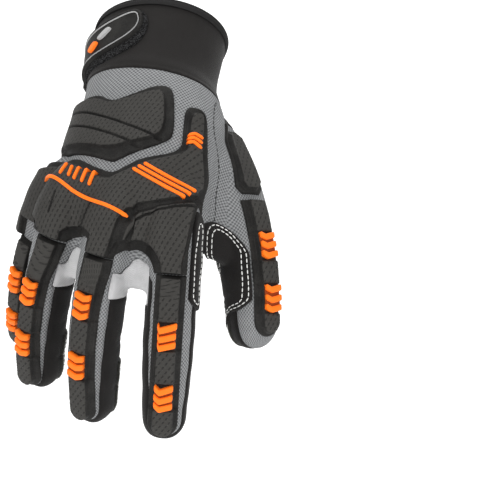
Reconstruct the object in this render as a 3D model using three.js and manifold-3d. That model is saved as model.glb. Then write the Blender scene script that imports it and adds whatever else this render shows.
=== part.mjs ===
// Padded work glove for a right hand, as it stands when a hand fills it: fingers hanging, wrist at the top.
// The hand frame has +X towards the thumb, -Y out of the back of the hand and +Z out of the wrist.
// Its origin is the middle of the cuff's mouth. The whole glove is then turned into its hanging pose.
import * as THREE from "three";
import { ConvexGeometry } from "three/addons/geometries/ConvexGeometry.js";
import { mergeVertices } from "three/addons/utils/BufferGeometryUtils.js";
import Module from "manifold-3d";

const wasm = await Module();
wasm.setup();

// Hand and cuff, in millimetres. The cuff's seam laps over the hand below the cuff's own length.
const cuffLength = 36;
const cuffWidth = 78;
const cuffDepth = 57;
const seamLap = 5.5;
const seamSlope = 5;
const palmLength = 82;
const handWidth = 106;
const handDepth = 44;
const archDrop = 7;

// How the filled glove hangs, in degrees: the forearm leans back and sideways, and the back of the hand
// turns to the little finger. The mouth of the cuff tilts up at the back.
const leanBack = 28;
const leanSide = 11;
const turnBack = -22;
const mouthTilt = 10;

// Layer thicknesses and clearances, in millimetres.
const clothWall = 1.6;
const cuffWall = 2.6;
const seamGap = 0.3;
const flangeHeight = 1.5;
const guardHeight = 4.2;
const inlayHeight = 1.1;
const ribHeight = 1.6;
const ribBase = 0.6;
const patchHeight = 1.3;
const palmPadHeight = 2.8;
const bindingWall = 1.3;
const bindingHeight = 5.5;
const strapWall = 1.6;
const tabHeight = 1.8;
const badgeHeight = 1;

// Fingers and thumb: the root is a share of handWidth, of handDepth and, short of its end, of palmLength.
// length, width and depth are millimetres; turn, splay, flex and curl are degrees.
const DIGITS = [
  {
    name: "index", across: 0.335, rise: 0.07, short: 0.02,
    length: 118.5, width: 26, depth: 25, turn: 20, splay: 7, flex: 26, curl: 27,
  },
  {
    name: "middle", across: 0.065, rise: 0.24, short: -0.015,
    length: 116, width: 26.5, depth: 25, turn: -2, splay: -19.5, flex: 27, curl: 29,
  },
  {
    name: "ring", across: -0.2, rise: 0.21, short: 0.085,
    length: 108.5, width: 25, depth: 24, turn: -3, splay: -27.3, flex: 26.4, curl: 31,
  },
  {
    name: "little", across: -0.315, rise: 0.07, short: 0.245,
    length: 101, width: 22, depth: 22, turn: 0, splay: -33.8, flex: 32.5, curl: 31,
  },
  {
    name: "thumb", across: 0.22, rise: -0.5, short: 0.96,
    length: 137, width: 28, depth: 27, turn: 57, splay: 24, flex: -29, curl: 45,
  },
];
const FINGERS = DIGITS.slice(0, 4);
const THUMB = DIGITS[4];

// Sections of the cuff and of the palm. reach is a share of cuffLength or palmLength, width of cuffWidth or
// handWidth, back and palm of half of cuffDepth or handDepth, shift of handWidth, and arch of archDrop.
// box is how square the section is.
const CUFF_SECTIONS = [
  { reach: 0, width: 0.98, back: 0.98, palm: 0.98, shift: 0.01, rise: 0, arch: 0, box: 2 },
  { reach: 0.4, width: 0.96, back: 0.97, palm: 0.97, shift: 0.01, rise: 0, arch: 0, box: 2 },
  { reach: 1, width: 0.93, back: 0.96, palm: 0.96, shift: 0.03, rise: 0, arch: 0, box: 2.1 },
];
const PALM_SECTIONS = [
  { reach: 0.2, width: 0.75, back: 1.2, palm: 1.16, shift: 0.068, rise: 0.02, arch: 0.2, box: 2.2 },
  { reach: 0.5, width: 0.78, back: 1.08, palm: 1.04, shift: 0.075, rise: 0.06, arch: 0.6, box: 2.4 },
  { reach: 0.75, width: 0.79, back: 0.98, palm: 0.96, shift: 0.055, rise: 0.08, arch: 1, box: 2.5 },
  { reach: 0.96, width: 0.85, back: 0.86, palm: 0.88, shift: 0.025, rise: 0.06, arch: 1, box: 2.6 },
  { reach: 1.14, width: 0.74, back: 0.6, palm: 0.7, shift: 0.025, rise: -0.05, arch: 0.8, box: 2.4 },
];
// Sections of a finger: along is a share of its length, width and depth of its own width and depth.
const FINGER_SECTIONS = [
  { along: -0.18, width: 0.4, depth: 0.2 },
  { along: 0.02, width: 0.93, depth: 0.98 },
  { along: 0.36, width: 1, depth: 1 },
  { along: 0.66, width: 0.98, depth: 0.96 },
  { along: 0.88, width: 0.89, depth: 0.86 },
];
const THUMB_SECTIONS = [
  { along: -0.04, width: 0.8, depth: 0.6 },
  { along: 0.16, width: 1.16, depth: 0.8 },
  { along: 0.42, width: 1.2, depth: 0.93 },
  { along: 0.66, width: 1.0, depth: 1.0 },
  { along: 0.88, width: 0.9, depth: 0.88 },
];
const TIP_STEPS = [42];
const boxiness = 2.6;
const fingerSides = 10;
const bodySides = 16;
const liningSides = 8;
const liningBodySides = 12;
const stripSteps = 3;

// Webs of cloth from one finger to the next, with the reach of the free edge along each finger.
const WEBS = [
  { name: "index_middle", a: 0, b: 1, reachA: 40, reachB: 38 },
  { name: "middle_ring", a: 1, b: 2, reachA: 38, reachB: 40 },
  { name: "ring_little", a: 2, b: 3, reachA: 36, reachB: 34 },
];
const gussetStart = 0.55;
const gussetInset = 0.3;
const thumbWebReach = 96;
const palmWebReach = 1.16;
const palmWebPlace = 0.36;
const hullSpread = 1.5;

// Where the back's cloth meets the palm's, above the axis, as shares of a finger's depth and of handDepth.
const fingerParting = 0.33;
const thumbParting = 0.05;
const bodyParting = -0.08;
const backEnd = 1.28;
const backEdge = 0.46;
const fingerBackWidth = 0.56;

// Rubber strips on the fingers. start is a share of the finger's length, ribs the shares of its two rib
// groups, and flange and face are shares of the finger's width.
const STRIPS = [
  { finger: "index", start: 0.26, ribs: [0.494, 0.753], flange: 0.31, face: 0.21 },
  { finger: "middle", start: 0.22, ribs: [0.402, 0.667], flange: 0.31, face: 0.22 },
  { finger: "ring", start: 0.24, ribs: [0.447, 0.703], flange: 0.31, face: 0.22 },
  { finger: "little", start: 0.34, ribs: [0.535, 0.782], flange: 0.31, face: 0.22 },
  { finger: "thumb", start: 0.46, ribs: [0.638, 0.819], flange: 0.31, face: 0.22 },
];
const stripEnd = 0.95;
const thumbPadStart = 0.16;
const thumbPadEnd = 0.435;
const thumbPadWidth = 0.34;
const thumbPadFace = 0.27;
const thumbPadInset = 2;
const ribPitch = 4.4;
const ribLength = 3;
const ribRise = 1.2;
const ribSlope = 0.4;
const armRibs = { x: 0.395, reach: 0.545, half: 0.024 };

// Outlines on the back and on the palm: x is a share of handWidth, reach of palmLength below the cuff.
const backPad = [
  [-0.43, 0.2], [-0.14, 0.23], [-0.03, 0.32], [0.04, 0.29], [0.2, 0.2], [0.27, 0.22],
  [0.31, 0.53], [0.29, 0.6], [0.06, 0.76], [0.03, 0.76], [-0.11, 0.7], [-0.43, 0.56],
];
const backPadFace = [
  [-0.43, 0.25], [-0.12, 0.28], [-0.02, 0.36], [0.17, 0.27], [0.235, 0.26], [0.265, 0.54],
  [0.215, 0.6], [0.04, 0.68], [-0.12, 0.635], [-0.43, 0.52],
];
const knuckleGuard = [
  [0.33, 0.33], [0.4, 0.31], [0.425, 0.36], [0.46, 0.83], [0.465, 1.16], [0.45, 1.38], [0.27, 1.4],
  [0.24, 1.31], [0.174, 1.27], [0.12, 1.31], [0.06, 1.38], [-0.03, 1.36], [-0.07, 1.26], [-0.13, 1.21],
  [-0.18, 1.21], [-0.22, 1.26], [-0.3, 1.24], [-0.33, 1.1], [-0.38, 1.06], [-0.41, 1.13], [-0.43, 1.26],
  [-0.62, 1.2], [-0.62, 0.64], [-0.19, 0.685], [-0.06, 0.785], [0.05, 0.84], [0.15, 0.8], [0.27, 0.715],
  [0.36, 0.655],
];
const knuckleFace = [
  [0.352, 0.37], [0.4, 0.35], [0.408, 0.38], [0.435, 0.83], [0.44, 1.16], [0.43, 1.38], [0.3, 1.4],
  [0.27, 1.3], [0.18, 1.21], [0.1, 1.27], [0.045, 1.38], [-0.02, 1.36], [-0.06, 1.2], [-0.13, 1.16],
  [-0.19, 1.16], [-0.24, 1.26], [-0.28, 1.24], [-0.32, 1.05], [-0.38, 1.0], [-0.43, 1.06], [-0.46, 1.26],
  [-0.62, 1.2], [-0.62, 0.7], [-0.19, 0.74], [-0.06, 0.84], [0.05, 0.885], [0.16, 0.845], [0.28, 0.755],
  [0.38, 0.7],
];
const backPadGrooves = [
  [[-0.43, 0.31], [-0.245, 0.337], [-0.07, 0.44], [0.212, 0.58], [0.26, 0.6]],
  [[-0.43, 0.4], [-0.26, 0.428], [-0.05, 0.55], [0.13, 0.646], [0.18, 0.67]],
];
const knuckleGrooves = [[[0.15, 1.22], [0.171, 1.085], [0.259, 1.017], [0.451, 0.933]]];
const grooveWidth = 1.4;
const bars = [
  [[0.167, 0.82], [0.421, 0.952]],
  [[0.189, 0.797], [0.439, 0.93]],
  [[0.211, 0.776], [0.453, 0.902]],
];
const barWidth = 1.6;
const knuckleLine = [[-0.324, 0.836], [0.169, 1.116]];
const knuckleLineWidth = 2;
const marks = { from: [-0.255, 0.765], to: [-0.045, 0.905], count: 5, lean: 0.045, width: 2 };
const knucklePalmPad = [
  [0.38, 1.26], [0.28, 1.2], [0.15, 1.27], [0.06, 1.2], [-0.03, 1.21], [-0.1, 1.12], [-0.3, 1.04],
  [-0.36, 0.96], [-0.35, 0.78], [-0.29, 0.74], [-0.2, 0.8], [-0.07, 0.89], [0.14, 0.98], [0.3, 0.94],
  [0.385, 0.98],
];
const thumbPalmPad = [
  [0.33, 0.8], [0.25, 0.72], [0.14, 0.42], [0.135, 0.22], [0.2, 0.13], [0.31, 0.13], [0.4, 0.24],
  [0.48, 0.58],
];
const heelPalmPad = [
  [0.2, 0.81], [0.03, 0.86], [-0.1, 0.78], [-0.29, 0.65], [-0.285, 0.47], [-0.2, 0.16], [-0.13, 0.13],
  [0.02, 0.13], [0.085, 0.37],
];
const tipPatchStart = 0.68;
const thumbPatchStart = 0.78;
const tipPatchWidth = 0.4;
const tipPatchRise = 0.14;
const crotchPatch = [
  [0.47, 1.12], [0.487, 0.95], [0.55, 0.93], [0.63, 1.05], [0.672, 1.17], [0.67, 1.28], [0.63, 1.35],
  [0.52, 1.35], [0.45, 1.26],
];
const strapOnBack = [
  [-0.6, -0.32], [-0.3, -0.3], [-0.15, -0.22], [-0.03, -0.1], [0.03, -0.14], [0.06, -0.34], [0.055, -0.58],
  [0.02, -0.8], [-0.06, -0.97], [-0.19, -1.13], [-0.6, -1.1],
];
const strapEdge = [
  [-0.6, -0.34], [-0.3, -0.32], [-0.15, -0.24], [-0.03, -0.12], [0.015, -0.16], [0.04, -0.34], [0.03, -0.55],
  [-0.01, -0.72], [-0.08, -0.86], [-0.19, -0.98], [-0.6, -1.06],
];
const strapOnPalm = [
  [-0.6, -0.34], [0.06, -0.34], [0.09, -0.46], [0.09, -0.92], [0.06, -1.03], [-0.6, -1.06],
];
const tabOnPalm = [[-0.34, -0.4], [0.05, -0.4], [0.072, -0.48], [0.072, -0.9], [0.05, -0.97], [-0.34, -0.98]];
const tabMark = [[0.045, -0.6], [0.055, -0.68], [0.0, -0.78], [-0.01, -0.7]];
const badgeBar = [[-0.15, -0.36], [-0.1, -0.42], [-0.17, -0.6], [-0.21, -0.54]];
const badgeDot = [[-0.215, -0.56], [-0.18, -0.62], [-0.215, -0.76], [-0.25, -0.68]];
const tabGrooves = {
  from: -0.05, step: -0.055, count: 5, point: 0.03, width: 1.2, top: -0.46, bottom: -0.92,
};
const halfOverlap = 1;
const vent = { x: -0.3, reach: 0.3, shoulder: 0.24, top: 0.11, half: 0.05, width: 3 };

const rad = THREE.MathUtils.degToRad;
const vec = (x, y, z) => new THREE.Vector3(x, y, z);
const far = handWidth;

// A ring of a rounded-box section about a frame, with its own depth on the back and on the palm side.
function ring(frame, halfWidth, halfBack, halfPalm, sides, drop = 0, box = boxiness) {
  return Array.from({ length: sides }, (_, i) => {
    const angle = ((i + 0.5) / sides) * 2 * Math.PI;
    const c = Math.cos(angle);
    const s = Math.sin(angle);
    const x = Math.sign(c) * Math.abs(c) ** (2 / box);
    const y = Math.sign(s) * Math.abs(s) ** (2 / box) * (s > 0 ? halfBack : halfPalm) - drop * x * x;
    return frame.at.clone().addScaledVector(frame.across, x * halfWidth).addScaledVector(frame.back, y);
  });
}

// A closed solid through rings of points that turn about the way they advance, up to the apex if it has one.
function loft(rings, apex) {
  const sides = rings[0].length;
  const positions = rings.flat().flatMap((p) => p.toArray());
  const centre = (points) => points.reduce((sum, p) => sum.add(p), vec(0, 0, 0)).divideScalar(points.length);
  positions.push(...centre(rings[0]).toArray(), ...(apex ?? centre(rings.at(-1))).toArray());
  const first = rings.length * sides;
  const index = [];
  for (let j = 0; j < sides; j += 1) {
    const k = (j + 1) % sides;
    for (let i = 0; i + 1 < rings.length; i += 1) {
      const [a, b, c, d] = [i * sides + j, i * sides + k, (i + 1) * sides + k, (i + 1) * sides + j];
      index.push(a, b, c, a, c, d);
    }
    const last = (rings.length - 1) * sides;
    index.push(first, k, j, first + 1, last + j, last + k);
  }
  return new THREE.BufferGeometry()
    .setAttribute("position", new THREE.Float32BufferAttribute(positions, 3))
    .setIndex(index);
}

// The same closed geometry as a solid that can be joined and cut.
function solid(geometry) {
  geometry.deleteAttribute("normal");
  geometry.deleteAttribute("uv");
  const merged = mergeVertices(geometry, 1e-4);
  return new wasm.Manifold(
    new wasm.Mesh({
      numProp: 3,
      vertProperties: merged.attributes.position.array,
      triVerts: new Uint32Array(merged.index.array),
    }),
  );
}

const joined = (solids) => solids.reduce((sum, s) => sum.add(s));

// The frame at a distance along a finger that bends evenly towards the palm.
function fingerFrame(finger, distance) {
  const turn = rad(finger.turn);
  const splay = rad(finger.splay);
  const sideways = vec(Math.cos(turn), Math.sin(turn), 0);
  const back = vec(Math.sin(turn), -Math.cos(turn), 0);
  const down = vec(0, 0, -1);
  const ahead = down.clone().multiplyScalar(Math.cos(splay)).addScaledVector(sideways, Math.sin(splay));
  const across = sideways.clone().multiplyScalar(Math.cos(splay)).addScaledVector(down, -Math.sin(splay));
  const start = rad(finger.flex);
  const rate = rad(finger.curl) / finger.length;
  const bend = start + rate * distance;
  const forward = (Math.sin(bend) - Math.sin(start)) / rate;
  const inward = (Math.cos(start) - Math.cos(bend)) / rate;
  const at = vec(
    finger.across * handWidth,
    -finger.rise * handDepth,
    -cuffLength - palmLength * (1 - finger.short),
  );
  return {
    at: at.addScaledVector(ahead, forward).addScaledVector(back, -inward),
    across,
    back: back.clone().multiplyScalar(Math.cos(bend)).addScaledVector(ahead, Math.sin(bend)),
    ahead: ahead.clone().multiplyScalar(Math.cos(bend)).addScaledVector(back, -Math.sin(bend)),
  };
}

// A finger or thumb, grown outwards by an amount, with a domed tip.
function fingerTube(finger, sections, grow) {
  const sides = grow < 0 ? liningSides : fingerSides;
  const rings = sections.map((row) =>
    ring(
      fingerFrame(finger, row.along * finger.length),
      (row.width * finger.width) / 2 + grow,
      (row.depth * finger.depth) / 2 + grow,
      (row.depth * finger.depth) / 2 + grow,
      sides,
    ),
  );
  const last = sections.at(-1);
  const dome = (1 - last.along) * finger.length + grow;
  for (const step of TIP_STEPS) {
    const shrink = Math.cos(rad(step)) ** 0.8;
    const frame = fingerFrame(finger, last.along * finger.length + dome * Math.sin(rad(step)));
    const halfDepth = ((last.depth * finger.depth) / 2 + grow) * shrink;
    rings.push(ring(frame, ((last.width * finger.width) / 2 + grow) * shrink, halfDepth, halfDepth, sides));
  }
  return solid(loft(rings, fingerFrame(finger, last.along * finger.length + dome).at));
}

// The wrist and palm as one tube, grown outwards by an amount.
function bodyTube(grow, above = 0) {
  const frame = (row, z) => {
    const tilt = rad(row.box && row.reach === 0 && z > -1 ? mouthTilt : 0);
    return {
      at: vec(row.shift * handWidth, -row.rise * handDepth, z),
      across: vec(1, 0, 0),
      back: vec(0, -Math.cos(tilt), Math.sin(tilt)),
    };
  };
  const rows = [
    ...CUFF_SECTIONS.map((row) => ({ row, width: cuffWidth, depth: cuffDepth, z: -row.reach * cuffLength })),
    ...PALM_SECTIONS.map((row) => {
      const z = -cuffLength - row.reach * palmLength;
      return { row, width: handWidth, depth: handDepth, z };
    }),
  ];
  if (above) rows.unshift({ ...rows[0], z: above });
  const last = rows.at(-1);
  rows.push({ ...last, z: last.z - 6 - grow, width: last.width * 0.9, depth: last.depth * 0.5 });
  return solid(
    loft(
      rows.map(({ row, width, depth, z }) =>
        ring(
          frame(row, z),
          (row.width * width) / 2 + grow,
          (row.back * depth) / 2 + grow,
          (row.palm * depth) / 2 + grow,
          grow < 0 ? liningBodySides : bodySides,
          row.arch * archDrop,
          row.box,
        ),
      ),
    ),
  );
}

// The hull of a set of points that are first moved away from their middle.
function hull(points, grow) {
  const middle = points.reduce((sum, p) => sum.add(p), vec(0, 0, 0)).divideScalar(points.length);
  const outwards = (p) => p.clone().sub(middle).normalize();
  const moved = points.map((p) => p.clone().addScaledVector(outwards(p), grow * hullSpread));
  return solid(new ConvexGeometry(moved));
}

// Points on both sides of a finger's axis, a share of its depth away from it.
function bothSides(finger, distance, share) {
  const f = fingerFrame(finger, distance);
  return [-1, 1].map((side) => f.at.clone().addScaledVector(f.back, side * share * finger.depth));
}

// The web of cloth between two neighbouring fingers, from their roots down to its free edge.
function web({ a, b, reachA, reachB }, grow) {
  const rows = [[FINGERS[a], reachA], [FINGERS[b], reachB]];
  return hull(rows.flatMap(([f, reach]) => [...bothSides(f, -4, 0.42), ...bothSides(f, reach, 0.18)]), grow);
}

// The web of cloth between the thumb and the palm.
function thumbWeb(grow) {
  const thumbRows = [[20, 0.42], [thumbWebReach * 0.75, 0.36], [thumbWebReach, 0.14]];
  const palmRows = [[0.1, 0.8], [0.7, 0.5], [palmWebReach, 0.15]];
  const onThumb = ([distance, share]) => bothSides(THUMB, distance, share);
  const onPalmSide = ([reach, share]) =>
    [-1, 1].map((side) => {
      const z = -cuffLength - reach * palmLength;
      return vec(palmWebPlace * handWidth, (side * share * handDepth) / 2, z);
    });
  return hull([...thumbRows.flatMap(onThumb), ...palmRows.flatMap(onPalmSide)], grow);
}

// The whole filled form, grown outwards by an amount. Between the fingers the cloth meets itself, so the webs
// aren't hollow.
const skins = new Map();
function skin(grow, above = 0) {
  const key = `${grow} ${above}`;
  if (!skins.has(key)) {
    skins.set(
      key,
      joined([
        bodyTube(grow, above),
        ...FINGERS.map((f) => fingerTube(f, FINGER_SECTIONS, grow)),
        fingerTube(THUMB, THUMB_SECTIONS, grow),
        ...(grow < 0 ? [] : WEBS.map((w) => web(w, grow))),
        thumbWeb(grow),
      ]),
    );
  }
  return skins.get(key);
}

// A layer over the form, between two heights, inside a cutter.
const layer = (low, high, cutter) => cutter.intersect(skin(high)).subtract(skin(low));

// A block between two corners.
function block(low, high) {
  const size = vec(...high).sub(vec(...low));
  const centre = vec(...high).add(vec(...low)).divideScalar(2);
  return solid(new THREE.BoxGeometry(...size).translate(...centre));
}

// All that lies above (1) or below (-1) the sloping seam between the cuff and the hand.
function seamSide(side, gap) {
  const half = new THREE.BoxGeometry(4 * far, 4 * far, 4 * far).translate(0, 0, side * (2 * far + gap));
  return solid(half.rotateY(rad(seamSlope)).translate(0, 0, -cuffLength - seamLap));
}

// A bar of rectangular section that follows a finger, from one distance to another, on or under its axis.
function strip(finger, from, to, halfWidth, low, high) {
  const rings = Array.from({ length: stripSteps + 1 }, (_, i) => {
    const f = fingerFrame(finger, from + ((to - from) * i) / stripSteps);
    return [[-1, low], [1, low], [1, high], [-1, high]].map(([side, lift]) =>
      f.at.clone().addScaledVector(f.across, side * halfWidth).addScaledVector(f.back, lift),
    );
  });
  return solid(loft(rings));
}

// A prism of an outline drawn on the back, from the plane y to far behind or in front of it.
function prism(points, side, y = 0, unit = palmLength, base = -cuffLength) {
  const corners = points.map(([x, reach]) => new THREE.Vector2(x * handWidth, base - reach * unit));
  const geometry = new THREE.ExtrudeGeometry(new THREE.Shape(corners), { depth: far, bevelEnabled: false });
  geometry.rotateX(Math.PI / 2).translate(0, side < 0 ? y : y + far, 0);
  return solid(geometry);
}
const onBack = (points, y = 0) => prism(points, -1, y);
const onPalm = (points, y = 0) => prism(points, 1, y);
const cuffOnBack = (points) => prism(points.map(([x, z]) => [x, -z]), -1, 0, cuffLength, 0);
const cuffOnPalm = (points) => prism(points.map(([x, z]) => [x, -z]), 1, -halfOverlap, cuffLength, 0);

// A thin band along a line of points, for grooves and inlays.
function band(points, width, unit = palmLength) {
  const line = points.map(([x, reach]) => vec(x * handWidth, reach * unit, 0));
  const left = [];
  const right = [];
  line.forEach((p, i) => {
    const ahead = line[Math.min(i + 1, line.length - 1)].clone().sub(line[Math.max(i - 1, 0)]).normalize();
    const side = vec(-ahead.y, ahead.x, 0).multiplyScalar(width / 2);
    left.push(p.clone().add(side));
    right.push(p.clone().sub(side));
  });
  return [...left, ...right.reverse()].map((p) => [p.x / handWidth, p.y / unit]);
}

const COLOURS = {
  mesh: 0x77787a,
  neoprene: 0x2e2b29,
  suede: 0x1c1b1e,
  leather: 0x34342f,
  lining: 0xcdcdcf,
  binding: 0x1e1d1d,
  hook: 0x181818,
  rubber: 0x403f3c,
  orange: 0xf2711c,
  pale: 0xd8d8d8,
};
const ROUGH = { leather: 0.55, rubber: 0.6, orange: 0.5, pale: 0.6 };

const largest = (shape) => shape.decompose().sort((a, b) => b.volume() - a.volume())[0];

function piece(name, shape, material) {
  const made = largest(shape).getMesh();
  const geometry = new THREE.BufferGeometry()
    .setAttribute("position", new THREE.Float32BufferAttribute(made.vertProperties, 3))
    .setIndex([...made.triVerts]);
  const finish = { color: COLOURS[material], roughness: ROUGH[material] ?? 0.9, metalness: 0 };
  const mesh = new THREE.Mesh(geometry, new THREE.MeshStandardMaterial(finish));
  mesh.name = name;
  return mesh;
}

// The cuff, its binding and the closed strap.
function cuffPieces() {
  const cavity = bodyTube(-cuffWall, far);
  const cuff = bodyTube(0).subtract(cavity).intersect(seamSide(1, 0));
  const wall = bodyTube(seamGap, seamGap).subtract(bodyTube(-cuffWall - seamGap, far));
  const rim = new THREE.BoxGeometry(2 * far, 2 * far, far).translate(0, 0, far / 2 - bindingHeight);
  const binding = bodyTube(bindingWall + seamGap, bindingWall + seamGap)
    .subtract(bodyTube(-cuffWall - seamGap - bindingWall, far))
    .subtract(wall)
    .intersect(solid(rim.rotateX(-rad(mouthTilt))));
  const baseTop = seamGap + strapWall;
  const strapTop = baseTop + seamGap + strapWall;
  const tabTop = strapTop + seamGap + tabHeight;
  const wrap = (low, high, back, palm) =>
    cuffOnBack(back).add(cuffOnPalm(palm)).intersect(bodyTube(high)).subtract(bodyTube(low));
  const tab = cuffOnPalm(tabOnPalm).intersect(bodyTube(tabTop)).subtract(bodyTube(strapTop + seamGap));
  const grooves = Array.from({ length: tabGrooves.count }, (_, i) => {
    const x = tabGrooves.from + i * tabGrooves.step;
    const middle = (tabGrooves.top + tabGrooves.bottom) / 2;
    const end = x - tabGrooves.point;
    const line = [[end, tabGrooves.top], [x, middle], [end, tabGrooves.bottom]];
    return cuffOnPalm(band(line, tabGrooves.width, cuffLength));
  });
  const grooved = tab.subtract(joined(grooves).subtract(bodyTube(strapTop + seamGap + tabHeight / 2)));
  const mark = cuffOnPalm(tabMark)
    .intersect(bodyTube(tabTop + seamGap + badgeHeight))
    .subtract(bodyTube(tabTop + seamGap));
  const badgeLow = bodyTube(strapTop + seamGap);
  const badgeHigh = bodyTube(strapTop + seamGap + badgeHeight);
  const badge = (outline) => cuffOnBack(outline).intersect(badgeHigh).subtract(badgeLow);
  return [
    piece("cuff", cuff, "neoprene"),
    piece("cuff_binding", binding, "binding"),
    piece("strap_base", wrap(seamGap, baseTop, strapOnBack, strapOnPalm), "hook"),
    piece("strap", wrap(baseTop + seamGap, strapTop, strapEdge, strapOnPalm), "rubber"),
    piece("strap_tab", grooved, "rubber"),
    piece("strap_tab_mark", mark, "orange"),
    piece("strap_badge_bar", badge(badgeBar), "pale"),
    piece("strap_badge_dot", badge(badgeDot), "orange"),
  ];
}

// The cloth of the hand: the back, the palm and the gussets between the fingers.
function clothPieces() {
  const shell = skin(0).subtract(skin(-clothWall, far)).intersect(seamSide(-1, seamGap));
  const backSide = (lift) => {
    const foot = -cuffLength - backEnd * palmLength;
    const over = (finger, from, halfWidth, parting) => {
      const to = finger.length + 2 * finger.width;
      return strip(finger, from, to, halfWidth, finger.depth * parting + lift, far / 3);
    };
    return joined([
      block([-far, -far, foot], [backEdge * handWidth, -bodyParting * handDepth - lift, 0]),
      ...FINGERS.map((f) => over(f, -f.width, f.width * fingerBackWidth, fingerParting)),
      over(THUMB, -THUMB.width / 2, far / 3, thumbParting),
    ]);
  };
  const gussetSpace = ({ a, b, reachA, reachB }, grow) => {
    const points = [];
    for (const [finger, reach, toward] of [[FINGERS[a], reachA, -1], [FINGERS[b], reachB, 1]]) {
      for (const distance of [reach * gussetStart - grow, reach + finger.width / 2 + grow]) {
        const f = fingerFrame(finger, distance);
        for (const side of [-1, 1]) {
          const edge = toward * (gussetInset * finger.width - grow);
          const depth = side * (finger.width + grow);
          points.push(f.at.clone().addScaledVector(f.across, edge).addScaledVector(f.back, depth));
        }
      }
    }
    return solid(new ConvexGeometry(points));
  };
  const gussets = WEBS.map((w) => gussetSpace(w, 0));
  const gussetsGrown = joined(WEBS.map((w) => gussetSpace(w, 2 * seamGap)));
  const back = shell.intersect(backSide(0)).subtract(gussetsGrown);
  const palm = shell.subtract(backSide(-seamGap)).subtract(gussetsGrown);
  return [
    piece("hand_back", back, "mesh"),
    piece("palm_panel", palm, "suede"),
    ...WEBS.map((w, i) => piece(`gusset_${w.name}`, shell.intersect(gussets[i]), "lining")),
  ];
}

// A rubber guard: a low flange and a raised face over the cloth.
const guard = (flange, face) => layer(seamGap, flangeHeight, flange).add(layer(seamGap, guardHeight, face));

const fingerOf = (name) => (name === "thumb" ? THUMB : FINGERS.find((f) => f.name === name));

function fingerStrips() {
  return STRIPS.map((row) => {
    const finger = fingerOf(row.finger);
    const [from, to] = [row.start * finger.length, stripEnd * finger.length];
    const bars = [row.flange, row.face].map((share) =>
      strip(finger, from, to, share * finger.width, finger.depth * 0.1, finger.depth),
    );
    return piece(`${row.finger}_guard`, guard(...bars), "rubber");
  });
}

// How high a guard's top lies over a finger's axis at a share of its length.
function crown(finger, along) {
  const sections = finger === THUMB ? THUMB_SECTIONS : FINGER_SECTIONS;
  const i = sections.findIndex((row) => row.along >= along);
  const [a, b] = [sections[i - 1], sections[i]];
  const share = THREE.MathUtils.mapLinear(along, a.along, b.along, a.depth, b.depth);
  return (share * finger.depth) / 2 + guardHeight;
}

// Three raised ribs on a thin base, bent towards the tip in the middle, on a guard whose top lies at a height
// over the frame.
function ribGroup(name, { at, across, ahead, back }, halfWidth, top) {
  const half = 1.5 * ribPitch;
  const foot = ribLength / 2;
  const crest = foot - ribSlope;
  const outline = [[half, 0], [half, ribBase]];
  for (const v of [ribPitch, 0, -ribPitch]) {
    outline.push([v + foot, ribBase], [v + crest, ribHeight], [v - crest, ribHeight], [v - foot, ribBase]);
  }
  outline.push([-half, ribBase], [-half, 0]);
  const shape = new THREE.Shape(outline.map(([v, height]) => new THREE.Vector2(v, height)));
  const straight = new THREE.ExtrudeGeometry(shape, { depth: 2 * halfWidth, steps: 2, bevelEnabled: false });
  const shift = new THREE.Matrix4().makeTranslation(0, 0, -halfWidth);
  const places = straight.applyMatrix4(shift).getAttribute("position");
  for (let i = 0; i < places.count; i += 1) {
    const bend = ribRise * (0.5 - Math.abs(places.getZ(i)) / halfWidth);
    places.setX(i, places.getX(i) + bend);
  }
  const frame = new THREE.Matrix4().makeBasis(ahead, back, across.clone().negate());
  frame.setPosition(at.clone().addScaledVector(back, top + seamGap));
  return piece(name, solid(straight.applyMatrix4(frame)), "orange");
}

function ribPieces() {
  const onFingers = STRIPS.flatMap((row) =>
    row.ribs.map((share, i) => {
      const finger = fingerOf(row.finger);
      const frame = fingerFrame(finger, share * finger.length);
      const half = row.face * finger.width - seamGap;
      return ribGroup(`${row.finger}_ribs_${i ? "lower" : "upper"}`, frame, half, crown(finger, share));
    }),
  );
  const { x, reach, half } = armRibs;
  const low = guardHeight + seamGap;
  const rowAt = (v) => band([[x - half, reach + v], [x + half, reach + v]], ribLength);
  const pitch = ribPitch / palmLength;
  const plate = onBack(band([[x, reach - 1.5 * pitch], [x, reach + 1.5 * pitch]], 2 * half * handWidth));
  const rows = joined([-pitch, 0, pitch].map((v) => onBack(rowAt(v))));
  const arm = layer(low, low + ribBase, plate).add(layer(low, low + ribHeight, rows));
  return [...onFingers, piece("arm_ribs", arm, "orange")];
}

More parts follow.
